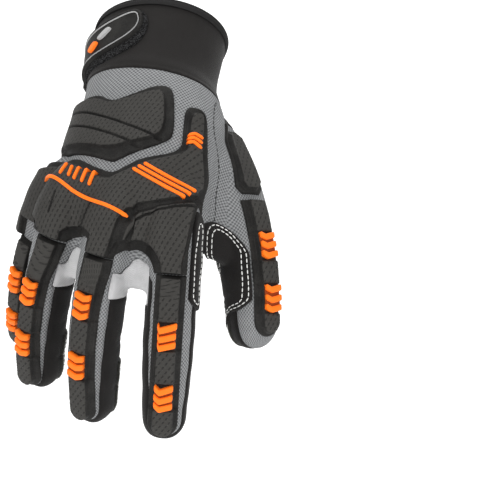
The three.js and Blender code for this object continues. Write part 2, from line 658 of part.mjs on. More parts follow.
// The big pads on the back, with their grooves and orange inlays.
function backPieces() {
  const grooveFloor = skin(flangeHeight + seamGap);
  const cutGrooves = (shape, lines) =>
    shape.subtract(joined(lines.map((line) => onBack(band(line, grooveWidth)))).subtract(grooveFloor));
  const starts = STRIPS.slice(0, 4).map((row) => {
    const finger = fingerOf(row.finger);
    const from = row.start * finger.length - 3 * seamGap;
    return strip(finger, from, finger.length * 1.2, finger.width, -1, far / 2);
  });
  const pad = cutGrooves(guard(onBack(backPad), onBack(backPadFace)), backPadGrooves);
  const plate = guard(onBack(knuckleGuard), onBack(knuckleFace));
  const knuckles = cutGrooves(plate, knuckleGrooves).subtract(joined(starts));
  const inlay = (points) => layer(guardHeight + seamGap, guardHeight + seamGap + inlayHeight, onBack(points));
  const markAt = (share) => {
    const x = marks.from[0] + (marks.to[0] - marks.from[0]) * share;
    const reach = marks.from[1] + (marks.to[1] - marks.from[1]) * share;
    return band([[x + 0.02, reach - marks.lean], [x - 0.01, reach + marks.lean]], marks.width);
  };
  return [
    piece("back_pad", pad, "rubber"),
    piece("knuckle_guard", knuckles, "rubber"),
    ...bars.map((line, i) => piece(`knuckle_bar_${i + 1}`, inlay(band(line, barWidth)), "orange")),
    piece("knuckle_line", inlay(band(knuckleLine, knuckleLineWidth)), "orange"),
    ...Array.from({ length: marks.count }, (_, i) =>
      piece(`knuckle_mark_${i + 1}`, inlay(markAt(i / (marks.count - 1))), "orange"),
    ),
  ];
}

function thumbPad() {
  const [from, to] = [thumbPadStart * THUMB.length, thumbPadEnd * THUMB.length];
  const bar = (share, inset) =>
    strip(THUMB, from + inset, to - inset, share * THUMB.width, THUMB.depth * 0.1, THUMB.depth * 1.5);
  return piece("thumb_pad", guard(bar(thumbPadWidth, 0), bar(thumbPadFace, thumbPadInset)), "rubber");
}

// Padded leather on the palm, patches at the fingertips and the patch in the thumb's crotch.
function palmPieces() {
  const pad = (outline) => layer(seamGap, palmPadHeight, onPalm(outline));
  const tips = [...FINGERS, THUMB].map((finger) => {
    const start = finger === THUMB ? thumbPatchStart : tipPatchStart;
    const [from, to] = [start * finger.length, stripEnd * finger.length];
    const [halfWidth, top] = [tipPatchWidth * finger.width, -tipPatchRise * finger.depth];
    const bar = strip(finger, from, to, halfWidth, -finger.depth, top);
    return piece(`tip_patch_${finger.name}`, layer(seamGap, patchHeight, bar), "leather");
  });
  const patchFrom = (thumbPatchStart - 0.01) * THUMB.length;
  const underThumb = strip(THUMB, patchFrom, THUMB.length, THUMB.width / 2, -THUMB.depth, THUMB.depth * 0.05);
  const beside = joined(
    STRIPS.map((row) => {
      const finger = fingerOf(row.finger);
      const start = (row.start - 0.05) * finger.length;
      const halfWidth = row.flange * finger.width + 1;
      return strip(finger, start, finger.length, halfWidth, finger.depth * 0.05, finger.depth);
    }),
  );
  const patch = layer(seamGap, patchHeight, onBack(crotchPatch, far / 2));
  const crotch = patch.subtract(beside).subtract(underThumb);
  const [left, right] = [vent.x - vent.half, vent.x + vent.half];
  const ventLine = [
    [left, vent.top], [left, vent.shoulder], [vent.x, vent.reach], [right, vent.shoulder], [right, vent.top],
  ];
  return [
    piece("palm_pad_knuckle", pad(knucklePalmPad), "leather"),
    piece("palm_pad_thumb", pad(thumbPalmPad), "leather"),
    piece("palm_pad_heel", pad(heelPalmPad), "leather"),
    ...tips,
    piece("vent_binding", layer(seamGap, patchHeight, onPalm(band(ventLine, vent.width))), "binding"),
    piece("crotch_patch", crotch, "suede"),
  ];
}

const glove = new THREE.Group();
glove.rotation.order = "YXZ";
glove.rotation.set(rad(-leanBack), rad(leanSide), rad(turnBack));
glove.add(...cuffPieces(), ...clothPieces(), ...backPieces(), ...fingerStrips());
glove.add(thumbPad(), ...ribPieces(), ...palmPieces());

export default glove;
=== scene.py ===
"""A right-hand work glove as a hand fills it, with rubber guards on its back and padded leather on its palm.

Shapes are worked out in the hand's own frame, in millimetres: +X towards the thumb, -Y out of the back of the
hand and +Z out of the wrist, from the middle of the cuff's mouth. Each finished piece is then turned into its
hanging pose, in metres.
"""

from __future__ import annotations

import logging
import math
from collections.abc import Callable
from dataclasses import dataclass
from enum import Enum

import bmesh
import bpy
import numpy as np
from mathutils import Matrix, Vector
from mathutils.bvhtree import BVHTree

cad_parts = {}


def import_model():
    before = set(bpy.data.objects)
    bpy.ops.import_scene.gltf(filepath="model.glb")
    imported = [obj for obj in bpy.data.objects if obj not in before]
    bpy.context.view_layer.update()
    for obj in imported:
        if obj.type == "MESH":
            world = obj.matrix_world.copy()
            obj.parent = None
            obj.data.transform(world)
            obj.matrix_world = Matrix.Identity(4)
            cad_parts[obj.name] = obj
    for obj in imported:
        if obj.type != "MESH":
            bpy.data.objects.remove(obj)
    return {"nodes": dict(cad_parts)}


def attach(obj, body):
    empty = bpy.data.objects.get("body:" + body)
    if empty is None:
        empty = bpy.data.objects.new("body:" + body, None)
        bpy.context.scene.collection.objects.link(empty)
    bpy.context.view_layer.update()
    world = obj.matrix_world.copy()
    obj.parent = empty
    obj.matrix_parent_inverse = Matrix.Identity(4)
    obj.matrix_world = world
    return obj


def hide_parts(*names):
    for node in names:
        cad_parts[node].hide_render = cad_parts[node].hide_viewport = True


LOG = logging.getLogger("glove")
METRE = 0.001
CORNER_CUT = 0.22
PIECE_FLOOR = 0.05
Points = np.ndarray
Field = Callable[[Points], Points]
Height = Callable[[Points, Points], Points]
Outline = list[tuple[float, float]]
Colour = tuple[float, float, float] | bpy.types.NodeSocket


@dataclass(frozen=True)
class HandSize:
    """Driving sizes of the filled glove, in millimetres and degrees."""

    cuff_length: float = 36.0
    cuff_width: float = 78.0
    cuff_depth: float = 57.0
    seam_lap: float = 4.1
    seam_slope: float = 4.2
    palm_length: float = 82.0
    hand_width: float = 106.0
    hand_depth: float = 44.0
    arch_drop: float = 7.0
    lean_back: float = 28.0
    lean_side: float = 11.0
    turn_back: float = -22.0
    mouth_tilt: float = 10.0

    def pose(self) -> Matrix:
        """Returns the turn from the hand's frame to the hanging pose, with millimetres made metres."""
        turn = Matrix.Rotation(math.radians(self.lean_side), 4, "Y")
        turn = turn @ Matrix.Rotation(math.radians(-self.lean_back), 4, "X")
        turn = turn @ Matrix.Rotation(math.radians(self.turn_back), 4, "Z")
        return turn @ Matrix.Scale(METRE, 4)

    def plan(self, outline: Outline) -> Points:
        """Turns an outline on the hand into millimetres.

        Args:
            outline: Points whose x is a share of the hand's width and y a share of the palm's length.

        Returns:
            The points' x and z.
        """
        points = np.array(outline, dtype=float)
        down = self.cuff_length + points[:, 1] * self.palm_length
        return np.stack([points[:, 0] * self.hand_width, -down], 1)

    def cuff_plan(self, outline: Outline) -> Points:
        """Turns an outline on the cuff into millimetres; its y is a share of the cuff's length, upwards."""
        points = np.array(outline, dtype=float)
        return np.stack([points[:, 0] * self.hand_width, points[:, 1] * self.cuff_length], 1)


@dataclass(frozen=True)
class Layers:
    """Thicknesses and heights over the cloth, in millimetres."""

    cloth: float = 1.3
    cuff: float = 2.6
    gap: float = 0.15
    flange: float = 1.5
    guard: float = 4.2
    inlay: float = 1.1
    rib: float = 1.9
    patch: float = 1.2
    pad: float = 2.9
    binding: float = 0.75
    binding_height: float = 4.4
    strap: float = 1.6
    tab: float = 1.8
    badge: float = 1.0


HAND = HandSize()
LAYER = Layers()


@dataclass(frozen=True)
class Digit:
    """A finger or the thumb, which bends evenly towards the palm.

    The root is a share of the hand's width, of its depth and, short of its end, of the palm's length.
    length, width and depth are millimetres; turn, splay, flex and curl are degrees. A section is a share
    of the length, of the width and of the depth.
    """

    name: str
    across: float
    rise: float
    short: float
    length: float
    width: float
    depth: float
    turn: float
    splay: float
    flex: float
    curl: float
    sections: tuple[tuple[float, float, float], ...]

    def root(self) -> Points:
        """Returns where the digit's axis starts."""
        drop = HAND.cuff_length + HAND.palm_length * (1 - self.short)
        return np.array([self.across * HAND.hand_width, -self.rise * HAND.hand_depth, -drop])

    def axes(self) -> tuple[Points, Points, Points]:
        """Returns the directions across, back and ahead at an angle of no bend."""
        turn, splay = math.radians(self.turn), math.radians(self.splay)
        sideways = np.array([math.cos(turn), math.sin(turn), 0.0])
        back = np.array([math.sin(turn), -math.cos(turn), 0.0])
        down = np.array([0.0, 0.0, -1.0])
        ahead = down * math.cos(splay) + sideways * math.sin(splay)
        across = sideways * math.cos(splay) - down * math.sin(splay)
        return across, back, ahead

    def frame(self, distance: float) -> tuple[Points, Points, Points, Points]:
        """Works out the frame at a distance along the axis.

        Args:
            distance: Millimetres from the root.

        Returns:
            The point on the axis, and the directions across, back and ahead there.
        """
        across, back, ahead = self.axes()
        start = math.radians(self.flex)
        rate = math.radians(self.curl) / self.length
        bend = start + rate * distance
        forward = (math.sin(bend) - math.sin(start)) / rate
        inward = (math.cos(start) - math.cos(bend)) / rate
        at = self.root() + ahead * forward - back * inward
        up = back * math.cos(bend) + ahead * math.sin(bend)
        onward = ahead * math.cos(bend) - back * math.sin(bend)
        return at, across, up, onward

    def local(self, points: Points) -> tuple[Points, Points, Points]:
        """Measures points along the bent axis.

        Args:
            points: An array of positions, one a row.

        Returns:
            Millimetres across, along and above the axis, each an array.
        """
        across, back, ahead = self.axes()
        rel = points - self.root()
        start = math.radians(self.flex)
        rate = math.radians(self.curl) / self.length
        forward = rel @ ahead + math.sin(start) / rate
        inward = math.cos(start) / rate + rel @ back
        bend = np.arctan2(forward, inward)
        return rel @ across, (bend - start) / rate, np.hypot(forward, inward) - 1 / rate

    def near(self, points: Points) -> Points:
        """Tells how far points lie from the axis, as a share of the digit's half width and depth."""
        across, along, above = self.local(points)
        spread = np.hypot(across / (self.width / 2), above / (self.depth / 2))
        return np.where((along > -3) & (along < self.length * 1.15), spread, 9.0)


FINGER_SECTIONS = (
    (-0.18, 0.4, 0.2), (-0.06, 0.84, 0.86), (0.02, 0.93, 0.98), (0.36, 1.0, 1.0), (0.66, 0.98, 0.96),
    (0.88, 0.89, 0.86),
)
THUMB_SECTIONS = (
    (-0.04, 0.8, 0.6), (0.16, 1.16, 0.8), (0.42, 1.2, 0.93), (0.66, 1.0, 1.0), (0.88, 0.9, 0.88),
)
INDEX = Digit("index", 0.335, 0.07, 0.02, 118.5, 26, 25, 20, 7, 26, 27, FINGER_SECTIONS)
MIDDLE = Digit("middle", 0.065, 0.24, -0.015, 116, 26.5, 25, -2, -19.5, 27, 29, FINGER_SECTIONS)
RING = Digit("ring", -0.2, 0.21, 0.085, 108.5, 25, 24, -3, -27.3, 26.4, 31, FINGER_SECTIONS)
LITTLE = Digit("little", -0.315, 0.07, 0.245, 101, 22, 22, 0, -33.8, 32.5, 31, FINGER_SECTIONS)
THUMB = Digit("thumb", 0.22, -0.5, 0.96, 137, 28, 27, 57, 24, -29, 45, THUMB_SECTIONS)
FINGERS = (INDEX, MIDDLE, RING, LITTLE)
DIGITS = (*FINGERS, THUMB)


@dataclass(frozen=True)
class BodySection:
    """A section of the wrist and palm, as shares of the sizes that it follows."""

    z: float
    width: float
    back: float
    palm: float
    shift: float
    rise: float
    arch: float
    box: float


def cuff_row(reach: float, width: float, back: float, palm: float, shift: float, box: float) -> BodySection:
    """Returns a section of the cuff, whose reach is a share of the cuff's length."""
    size = HAND.cuff_depth / 2
    half = width * HAND.cuff_width / 2
    return BodySection(-reach * HAND.cuff_length, half, back * size, palm * size, shift, 0.0, 0.0, box)


def palm_row(
    reach: float, width: float, back: float, palm: float, shift: float, rise: float, arch: float, box: float
) -> BodySection:
    """Returns a section of the palm, whose reach is a share of the palm's length."""
    size = HAND.hand_depth / 2
    z = -HAND.cuff_length - reach * HAND.palm_length
    return BodySection(z, width * HAND.hand_width / 2, back * size, palm * size, shift, rise, arch, box)


BODY = (
    cuff_row(0, 0.98, 0.98, 0.98, 0.01, 2),
    cuff_row(0.4, 0.96, 0.97, 0.97, 0.01, 2),
    cuff_row(1, 0.93, 0.96, 0.96, 0.03, 2.1),
    palm_row(0.2, 0.75, 1.2, 1.16, 0.068, 0.02, 0.2, 2.2),
    palm_row(0.5, 0.78, 1.08, 1.04, 0.075, 0.06, 0.6, 2.4),
    palm_row(0.75, 0.79, 0.98, 0.96, 0.055, 0.08, 1, 2.5),
    palm_row(0.96, 0.85, 0.86, 0.88, 0.025, 0.06, 1, 2.6),
    palm_row(1.14, 0.74, 0.6, 0.7, 0.025, -0.05, 0.8, 2.4),
)


@dataclass(frozen=True)
class Web:
    """Cloth from one finger to the next, with the reach of its free edge along each."""

    thumb_side: Digit
    little_side: Digit
    reach_a: float
    reach_b: float


WEBS = (Web(INDEX, MIDDLE, 40, 38), Web(MIDDLE, RING, 38, 40), Web(RING, LITTLE, 36, 34))


def smooth_step(value: Points, low: float, high: float) -> Points:
    """Returns 0 below low and 1 above high, with a soft rise between them."""
    share = np.clip((value - low) / (high - low), 0, 1)
    return share * share * (3 - 2 * share)


def round_rise(distance: Points, radius: float) -> Points:
    """Returns the share of its height that a rounded edge has at a distance inside it."""
    share = np.clip(distance / radius, 0, 1)
    return np.sqrt(1 - (1 - share) ** 2)


def rounded(outline: Points, passes: int = 2, closed: bool = True) -> Points:
    """Cuts an outline's corners, so that they turn round.

    Args:
        outline: Points in a plane, one a row.
        passes: How many times each corner is cut.
        closed: Whether the last point joins the first.

    Returns:
        The points of the rounder outline.
    """
    for _ in range(passes):
        after = np.roll(outline, -1, 0)
        near, far = 1 - CORNER_CUT, CORNER_CUT
        pairs = np.stack([near * outline + far * after, far * outline + near * after], 1)
        if closed:
            outline = pairs.reshape(-1, 2)
        else:
            outline = np.vstack([outline[:1], pairs[:-1].reshape(-1, 2), outline[-1:]])
    return outline


def line_distance(flat: Points, line: Points, closed: bool = False) -> Points:
    """Measures how far flat points lie from a line of points.

    Args:
        flat: The points to measure, one a row.
        line: The line's points, in order.
        closed: Whether the line returns to its first point.

    Returns:
        The distances.
    """
    start = line if closed else line[:-1]
    end = np.roll(line, -1, 0) if closed else line[1:]
    best = np.full(len(flat), np.inf)
    for a, b in zip(start, end):
        along = b - a
        share = np.clip(((flat - a) @ along) / max(along @ along, 1e-9), 0, 1)
        best = np.minimum(best, np.hypot(*(flat - a - share[:, None] * along).T))
    return best


def even_steps(line: Points, step: float) -> Points:
    """Returns points along a line, about a step apart."""
    reach = np.concatenate([[0], np.cumsum(np.linalg.norm(np.diff(line, axis=0), axis=1))])
    wanted = np.linspace(0, reach[-1], max(4, round(reach[-1] / step) + 1))
    return np.stack([np.interp(wanted, reach, line[:, k]) for k in range(line.shape[1])], 1)


def inside_distance(flat: Points, outline: Points) -> Points:
    """Measures how far flat points lie inside an outline, or outside it as a negative number."""
    inside = np.zeros(len(flat), dtype=bool)
    for a, b in zip(outline, np.roll(outline, -1, 0)):
        crosses = (a[1] > flat[:, 1]) != (b[1] > flat[:, 1])
        rise = b[1] - a[1] if b[1] != a[1] else 1e-9
        inside ^= crosses & (flat[:, 0] < a[0] + (flat[:, 1] - a[1]) * (b[0] - a[0]) / rise)
    return np.where(inside, 1, -1) * line_distance(flat, outline, closed=True)


def dorsal(points: Points) -> Points:
    """Tells how far points lie on the back's side of the hand and of its fingers."""
    best = -points[:, 1]
    for digit in FINGERS:
        above = digit.local(points)[2] - 0.1 * digit.depth
        best = np.maximum(best, np.where(digit.near(points) < 1.5, above, -99.0))
    return best


def on_back(outline: Points) -> Field:
    """Returns the field of an outline drawn on the back of the hand."""
    return lambda points: np.minimum(inside_distance(points[:, [0, 2]], outline), dorsal(points))


def on_palm(outline: Points) -> Field:
    """Returns the field of an outline drawn on the palm."""
    return lambda points: np.minimum(inside_distance(points[:, [0, 2]], outline), points[:, 1])


def beyond(digit: Digit, distance: float) -> Field:
    """Returns a field that is positive on a digit's back, past a distance along it."""

    def field(points: Points) -> Points:
        across, along, above = digit.local(points)
        return np.minimum(np.minimum(along - distance, digit.width - np.abs(across)), above + 1)

    return field


def vertex_array(mesh: bmesh.types.BMesh) -> Points:
    """Returns the positions of a mesh's vertices, one a row."""
    return np.array([v.co[:] for v in mesh.verts])


class Surface:
    """A fine closed surface, which other pieces are cut from or laid on."""

    def __init__(self, mesh: bmesh.types.BMesh) -> None:
        """Keeps the mesh, which is in the hand's frame, and its search tree."""
        self.mesh = mesh
        self.mesh.normal_update()
        self.mesh.edges.ensure_lookup_table()
        self.mesh.verts.index_update()
        self.mesh.edges.index_update()
        self.mesh.faces.index_update()
        self.tree = BVHTree.FromBMesh(mesh)
        self.places = vertex_array(mesh)
        self.normals = np.array([v.normal[:] for v in mesh.verts])
        self.edges = np.array([[e.verts[0].index, e.verts[1].index] for e in mesh.edges])

    def cropped(self, field: Field, margin: float, cuts: int) -> bmesh.types.BMesh:
        """Copies what lies inside a field, with a margin round it.

        Args:
            field: Positive inside the wanted part.
            margin: How much is kept outside it, in millimetres.
            cuts: How often each face is divided.

        Returns:
            The copy, with the direction out of the surface in its layer called up.
        """
        copy = self.mesh.copy()
        outside = field(self.places) < -margin
        lost = [v for v, out in zip(copy.verts, outside) if out]
        bmesh.ops.delete(copy, geom=lost, context="VERTS")
        for _ in range(cuts):
            bmesh.ops.subdivide_edges(copy, edges=copy.edges[:], cuts=1, use_grid_fill=True)
        copy.normal_update()
        up = copy.verts.layers.float_vector.new("up")
        for vert in copy.verts:
            vert[up] = vert.normal
        return copy

    def hit(self, origin: Points, direction: Points) -> tuple[Vector, Vector] | None:
        """Returns the point and the normal where a ray meets the surface, if it does."""
        place, normal, _, _ = self.tree.ray_cast(Vector(origin), Vector(direction))
        return (place, normal) if place else None

    def drape(self, starts: Points, aims: Points, degree: int) -> Points:
        """Drops points onto the surface and evens out how far they fall and its normals there.

        Args:
            starts: Where each point starts, one a row.
            aims: The direction in which each drops.
            degree: The degree of the curve that evens them out.

        Returns:
            The places and normals where they land, one a row.
        """
        hits = [self.hit(start, aim) for start, aim in zip(starts, aims)]
        met = [index for index, hit in enumerate(hits) if hit]
        found = np.array([[(np.array(hits[i][0]) - starts[i]) @ aims[i], *hits[i][1]] for i in met])
        share = np.linspace(-1, 1, len(starts))
        even = np.vander(share, degree + 1) @ np.polyfit(share[met], found, degree)
        return np.hstack([starts + aims * even[:, :1], even[:, 1:]])

    def drape_plan(self, line: Points, side: int, degree: int = 3, step: float = 0.8) -> Points:
        """Drops a line drawn in plan, in millimetres, on the back, with side -1, or the palm, with side 1."""
        flat = even_steps(line, step)
        starts = np.stack([flat[:, 0], np.full(len(flat), side * 150.0), flat[:, 1]], 1)
        return self.drape(starts, np.tile([0.0, -side, 0.0], (len(flat), 1)), degree)

    def drape_digit(self, digit: Digit, line: Points, step: float = 0.5) -> Points:
        """Drops a line of points across and along a digit, in millimetres, on its back."""
        flat = even_steps(line, step)
        starts, aims = [], []
        for across, along in flat:
            at, sideways, up, _ = digit.frame(along)
            starts.append(at + sideways * across + up * 40)
            aims.append(-up)
        return self.drape(np.array(starts), np.array(aims), 2)


def trim(mesh: bmesh.types.BMesh, field: Field) -> None:
    """Cuts a mesh along the line where a field is zero and keeps what lies inside.

    Args:
        mesh: The mesh to cut.
        field: Positive inside.
    """
    values = field(vertex_array(mesh))
    worth = mesh.verts.layers.float.new("worth")
    for vert, value in zip(mesh.verts, values):
        vert[worth] = value
    made = []
    for edge in mesh.edges[:]:
        a, b = edge.verts
        if a[worth] * b[worth] < 0:
            share = a[worth] / (a[worth] - b[worth])
            vert = bmesh.utils.edge_split(edge, a, min(max(share, 0.04), 0.96))[1]
            vert[worth] = 0
            made.append(vert)
    bmesh.ops.connect_verts(mesh, verts=made)
    lost = [f for f in mesh.faces if sum(v[worth] for v in f.verts) <= 0]
    bmesh.ops.delete(mesh, geom=lost, context="FACES")
    mesh.verts.layers.float.remove(mesh.verts.layers.float["worth"])


def largest_part(mesh: bmesh.types.BMesh, least: int = 30) -> None:
    """Deletes loose parts of a mesh that have fewer faces than a number."""
    left = set(mesh.faces)
    while left:
        part = {left.pop()}
        front = list(part)
        while front:
            for edge in front.pop().edges:
                for face in edge.link_faces:
                    if face in left:
                        left.discard(face)
                        part.add(face)
                        front.append(face)
        if len(part) < least:
            bmesh.ops.delete(mesh, geom=list(part), context="FACES")
            left = {f for f in left if f.is_valid}


def spread_rows(rows: Points, count: int) -> Points:
    """Reads a table of sections at even steps, with a smooth run through its rows.

    Args:
        rows: One section a row, with its place in the first column.
        count: How many sections are wanted.

    Returns:
        The wanted sections.
    """
    places = rows[:, 0]
    slopes = np.gradient(rows, places, axis=0)
    wanted = np.linspace(places[0], places[-1], count)
    index = np.clip(np.searchsorted(places, wanted, side="right") - 1, 0, len(places) - 2)
    step = (places[index + 1] - places[index])[:, None]
    t = ((wanted - places[index]) / step[:, 0])[:, None]
    made = (2 * t**3 - 3 * t**2 + 1) * rows[index] + (t**3 - 2 * t**2 + t) * step * slopes[index]
    made += (3 * t**2 - 2 * t**3) * rows[index + 1] + (t**3 - t**2) * step * slopes[index + 1]
    made[:, 0] = wanted
    return made


def add_ring(mesh: bmesh.types.BMesh, places: Points) -> list[bmesh.types.BMEdge]:
    """Adds a closed ring of edges through some places, from a circle whose points are moved."""
    made = bmesh.ops.create_circle(mesh, segments=len(places), radius=1)["verts"]
    for vert, place in zip(made, places):
        vert.co = Vector(place)
    return [e for e in {edge for v in made for edge in v.link_edges}]


def bridge_rings(mesh: bmesh.types.BMesh, rings: list[Points], closed: bool = False) -> None:
    """Skins a row of rings with faces.

    Args:
        mesh: The mesh that gets them.
        rings: Each ring's places, in the same order.
        closed: Whether the last ring joins the first. If not, both ends are filled.
    """
    loops = [add_ring(mesh, ring) for ring in rings]
    pairs = list(zip(loops, loops[1:])) + ([(loops[-1], loops[0])] if closed else [])
    for first, second in pairs:
        bmesh.ops.bridge_loops(mesh, edges=first + second)
    if not closed:
        bmesh.ops.holes_fill(mesh, edges=loops[0] + loops[-1], sides=0)
    bmesh.ops.recalc_face_normals(mesh, faces=mesh.faces[:])


class FilledForm:
    """The whole filled glove as one smooth closed surface, which every panel and pad is made from."""

    voxel: float = 1.1
    ring_points: int = 40
    box: float = 2.5
    smoothing: int = 9

    def __init__(self, quick: bool) -> None:
        """Notes whether a rough form is enough."""
        self.voxel = 1.6 if quick else self.voxel

    def section(self, half_width: float, back: float, palm: float, drop: float, box: float) -> Points:
        """Returns a section's places across and above its axis, as a rounded box."""
        turn = (np.arange(self.ring_points) + 0.5) / self.ring_points * 2 * math.pi
        c, s = np.cos(turn), np.sin(turn)
        x = np.sign(c) * np.abs(c) ** (2 / box)
        depth = np.where(s > 0, back, palm)
        return np.stack([x * half_width, np.sign(s) * np.abs(s) ** (2 / box) * depth - drop * x * x], 1)

    def digit_rings(self, digit: Digit) -> list[Points]:
        """Returns the rings of a digit, from inside the palm to its domed tip."""
        rows = spread_rows(np.array(digit.sections), 22)
        last = rows[-1]
        dome = (1 - last[0]) * digit.length
        steps = np.radians(np.linspace(9, 87, 9))
        domed = []
        for t in steps:
            along = last[0] + dome * math.sin(t) / digit.length
            domed.append((along, *(last[1:] * math.cos(t) ** 0.85)))
        rings = []
        for along, width, depth in [*rows, *domed]:
            at, across, up, _ = digit.frame(along * digit.length)
            half = depth * digit.depth / 2
            flat = self.section(width * digit.width / 2, half, half, 0, self.box)
            rings.append(at + flat[:, :1] * across + flat[:, 1:] * up)
        return rings

    def body_rings(self) -> list[Points]:
        """Returns the rings of the wrist and palm, from well above the cuff's mouth down to the fingers."""
        table = np.array([[r.z, r.width, r.back, r.palm, r.shift, r.rise, r.arch, r.box] for r in BODY])[::-1]
        rows = spread_rows(table, 34)[::-1]
        top = rows[0].copy()
        top[0] = 14
        foot = rows[-1].copy()
        foot[:4] = foot[0] - 6, foot[1] * 0.9, foot[2] * 0.5, foot[3] * 0.5
        rings = []
        for z, width, back, palm, shift, rise, arch, box in [top, *rows, foot]:
            flat = self.section(width, back, palm, arch * HAND.arch_drop, box)
            tilt = math.radians(HAND.mouth_tilt) * float(smooth_step(np.array(z), -14, 0))
            x = shift * HAND.hand_width + flat[:, 0]
            y = -rise * HAND.hand_depth - flat[:, 1] * math.cos(tilt)
            rings.append(np.stack([x, y, z + flat[:, 1] * math.sin(tilt)], 1))
        return rings

    def beside(self, digit: Digit, distance: float, share: float) -> list[Points]:
        """Returns two places above and below a digit's axis, a share of its depth away."""
        at, _, up, _ = digit.frame(distance)
        return [at + side * share * digit.depth * up for side in (-1, 1)]

    def web_places(self, web: Web) -> list[Points]:
        """Returns the corners of the cloth between two fingers."""
        places = []
        for digit, reach in ((web.thumb_side, web.reach_a), (web.little_side, web.reach_b)):
            places += [*self.beside(digit, -4, 0.42), *self.beside(digit, reach, 0.18)]
        return places

    def thumb_web_places(self) -> list[Points]:
        """Returns the corners of the cloth between the thumb and the palm."""
        places = []
        for distance, share in ((20, 0.42), (72, 0.36), (96, 0.14)):
            places += self.beside(THUMB, distance, share)
        for reach, share in ((0.1, 0.8), (0.7, 0.5), (1.16, 0.15)):
            z = -HAND.cuff_length - reach * HAND.palm_length
            half = share * HAND.hand_depth / 2
            places += [np.array([0.36 * HAND.hand_width, side * half, z]) for side in (-1, 1)]
        return places

    def folds(self, points: Points) -> Points:
        """Works out how far soft folds move the cloth in or out.

        Args:
            points: Places on the form.

        Returns:
            Millimetres outwards for each.
        """
        x, y, z = points.T
        waves = np.sin(x * 0.21 + z * 0.13 + 1.1) * np.sin(y * 0.19 - z * 0.16 + 0.4)
        move = 0.22 * waves * smooth_step(-z, 40, 60)
        for digit in DIGITS:
            across, along, above = digit.local(points)
            mine = smooth_step(-digit.near(points), -1.5, -1.2) * smooth_step(-above, 0, 4)
            for share in (0.3, 0.33, 0.56, 0.59, 0.8):
                crease = np.exp(-(((along + 1.4 * np.sin(across * 0.3)) - share * digit.length) ** 2) / 2.2)
                move -= 0.42 * mine * crease
        return move

    def build(self) -> Surface:
        """Joins the tubes and webs into one smooth surface.

        Returns:
            The surface, in the hand's frame.
        """
        rough = bmesh.new()
        bridge_rings(rough, self.body_rings())
        for digit in DIGITS:
            bridge_rings(rough, self.digit_rings(digit))
        for places in [*map(self.web_places, WEBS), self.thumb_web_places()]:
            corners = [rough.verts.new(Vector(p)) for p in places]
            hull = bmesh.ops.convex_hull(rough, input=corners)
            inner = [g for g in hull["geom_interior"] if isinstance(g, bmesh.types.BMVert)]
            bmesh.ops.delete(rough, geom=inner, context="VERTS")
        mesh = bpy.data.meshes.new("filled_form")
        rough.to_mesh(mesh)
        rough.free()
        holder = bpy.data.objects.new("filled_form", mesh)
        bpy.context.scene.collection.objects.link(holder)
        remesh = holder.modifiers.new("one_skin", "REMESH")
        remesh.mode = "VOXEL"
        remesh.voxel_size = self.voxel
        evaluated = holder.evaluated_get(bpy.context.evaluated_depsgraph_get())
        fine = bmesh.new()
        fine.from_mesh(evaluated.to_mesh())
        evaluated.to_mesh_clear()
        bpy.data.objects.remove(holder)
        bpy.data.meshes.remove(mesh)
        for _ in range(self.smoothing):
            bmesh.ops.smooth_vert(
                fine, verts=fine.verts[:], factor=0.5, use_axis_x=True, use_axis_y=True, use_axis_z=True
            )
        fine.normal_update()
        moves = self.folds(vertex_array(fine))
        for vert, move in zip(fine.verts, moves):
            vert.co += vert.normal * move
        LOG.info("filled form: %d faces", len(fine.faces))
        return Surface(fine)


def weave_places(points: Points) -> Points:
    """Works out where places lie on the cloth, so that a weave follows the fingers and the hand.

    Args:
        points: Middles of faces.

    Returns:
        The index of the digit whose cloth each lies on, or -1 on the hand.
    """
    near = np.stack([digit.near(points) for digit in DIGITS])
    best = near.argmin(0)
    return np.where(near.min(0) < 1.35, best, -1)


def weave_map(points: Points, owner: Points) -> Points:
    """Returns places on the cloth, in millimetres across and along, and how far above the axis.

    Args:
        points: Places on the glove.
        owner: The digit that each lies on, or -1 on the hand.
    """
    turn = np.arctan2((points[:, 0] - 3) / 40, -points[:, 1] / 24)
    made = np.stack([turn * 34, points[:, 2], -points[:, 1]], 1)
    for index, digit in enumerate(DIGITS):
        mine = owner == index
        across, along, above = digit.local(points[mine])
        radius = digit.width / 2
        made[mine] = np.stack([np.arctan2(across, above + 1e-6) * radius, -along, above], 1)
    return made


def plan_map(points: Points, _: Points) -> Points:
    """Returns x, z and y of places, for patterns that are moulded straight through the back's plan."""
    return points[:, [0, 2, 1]]


def publish(
    mesh: bmesh.types.BMesh, name: str, material: bpy.types.Material, layout: Height
) -> bpy.types.Object:
    """Makes a finished object of a mesh and turns it into the hanging pose.

    Args:
        mesh: The mesh, in the hand's frame. It is freed.
        name: The piece's name.
        material: Its finish.
        layout: Gives the places on the cloth, kept in the attribute called cloth.

    Returns:
        The object, at the origin.
    """
    data = bpy.data.meshes.new(name)
    mesh.to_mesh(data)
    mesh.free()
    for polygon in data.polygons:
        polygon.use_smooth = True
    spots = np.empty(len(data.vertices) * 3)
    data.vertices.foreach_get("co", spots)
    spots = spots.reshape(-1, 3)
    centres = np.empty(len(data.polygons) * 3)
    data.polygons.foreach_get("center", centres)
    owner = weave_places(centres.reshape(-1, 3))
    counts = np.empty(len(data.polygons), dtype=np.int32)
    data.polygons.foreach_get("loop_total", counts)
    corners = np.empty(len(data.loops), dtype=np.int32)
    data.loops.foreach_get("vertex_index", corners)
    cloth = data.attributes.new("cloth", "FLOAT_VECTOR", "CORNER")
    cloth.data.foreach_set("vector", layout(spots[corners], np.repeat(owner, counts)).ravel())
    data.transform(HAND.pose())
    data.materials.append(material)
    piece = bpy.data.objects.new(name, data)
    bpy.context.scene.collection.objects.link(piece)
    return piece


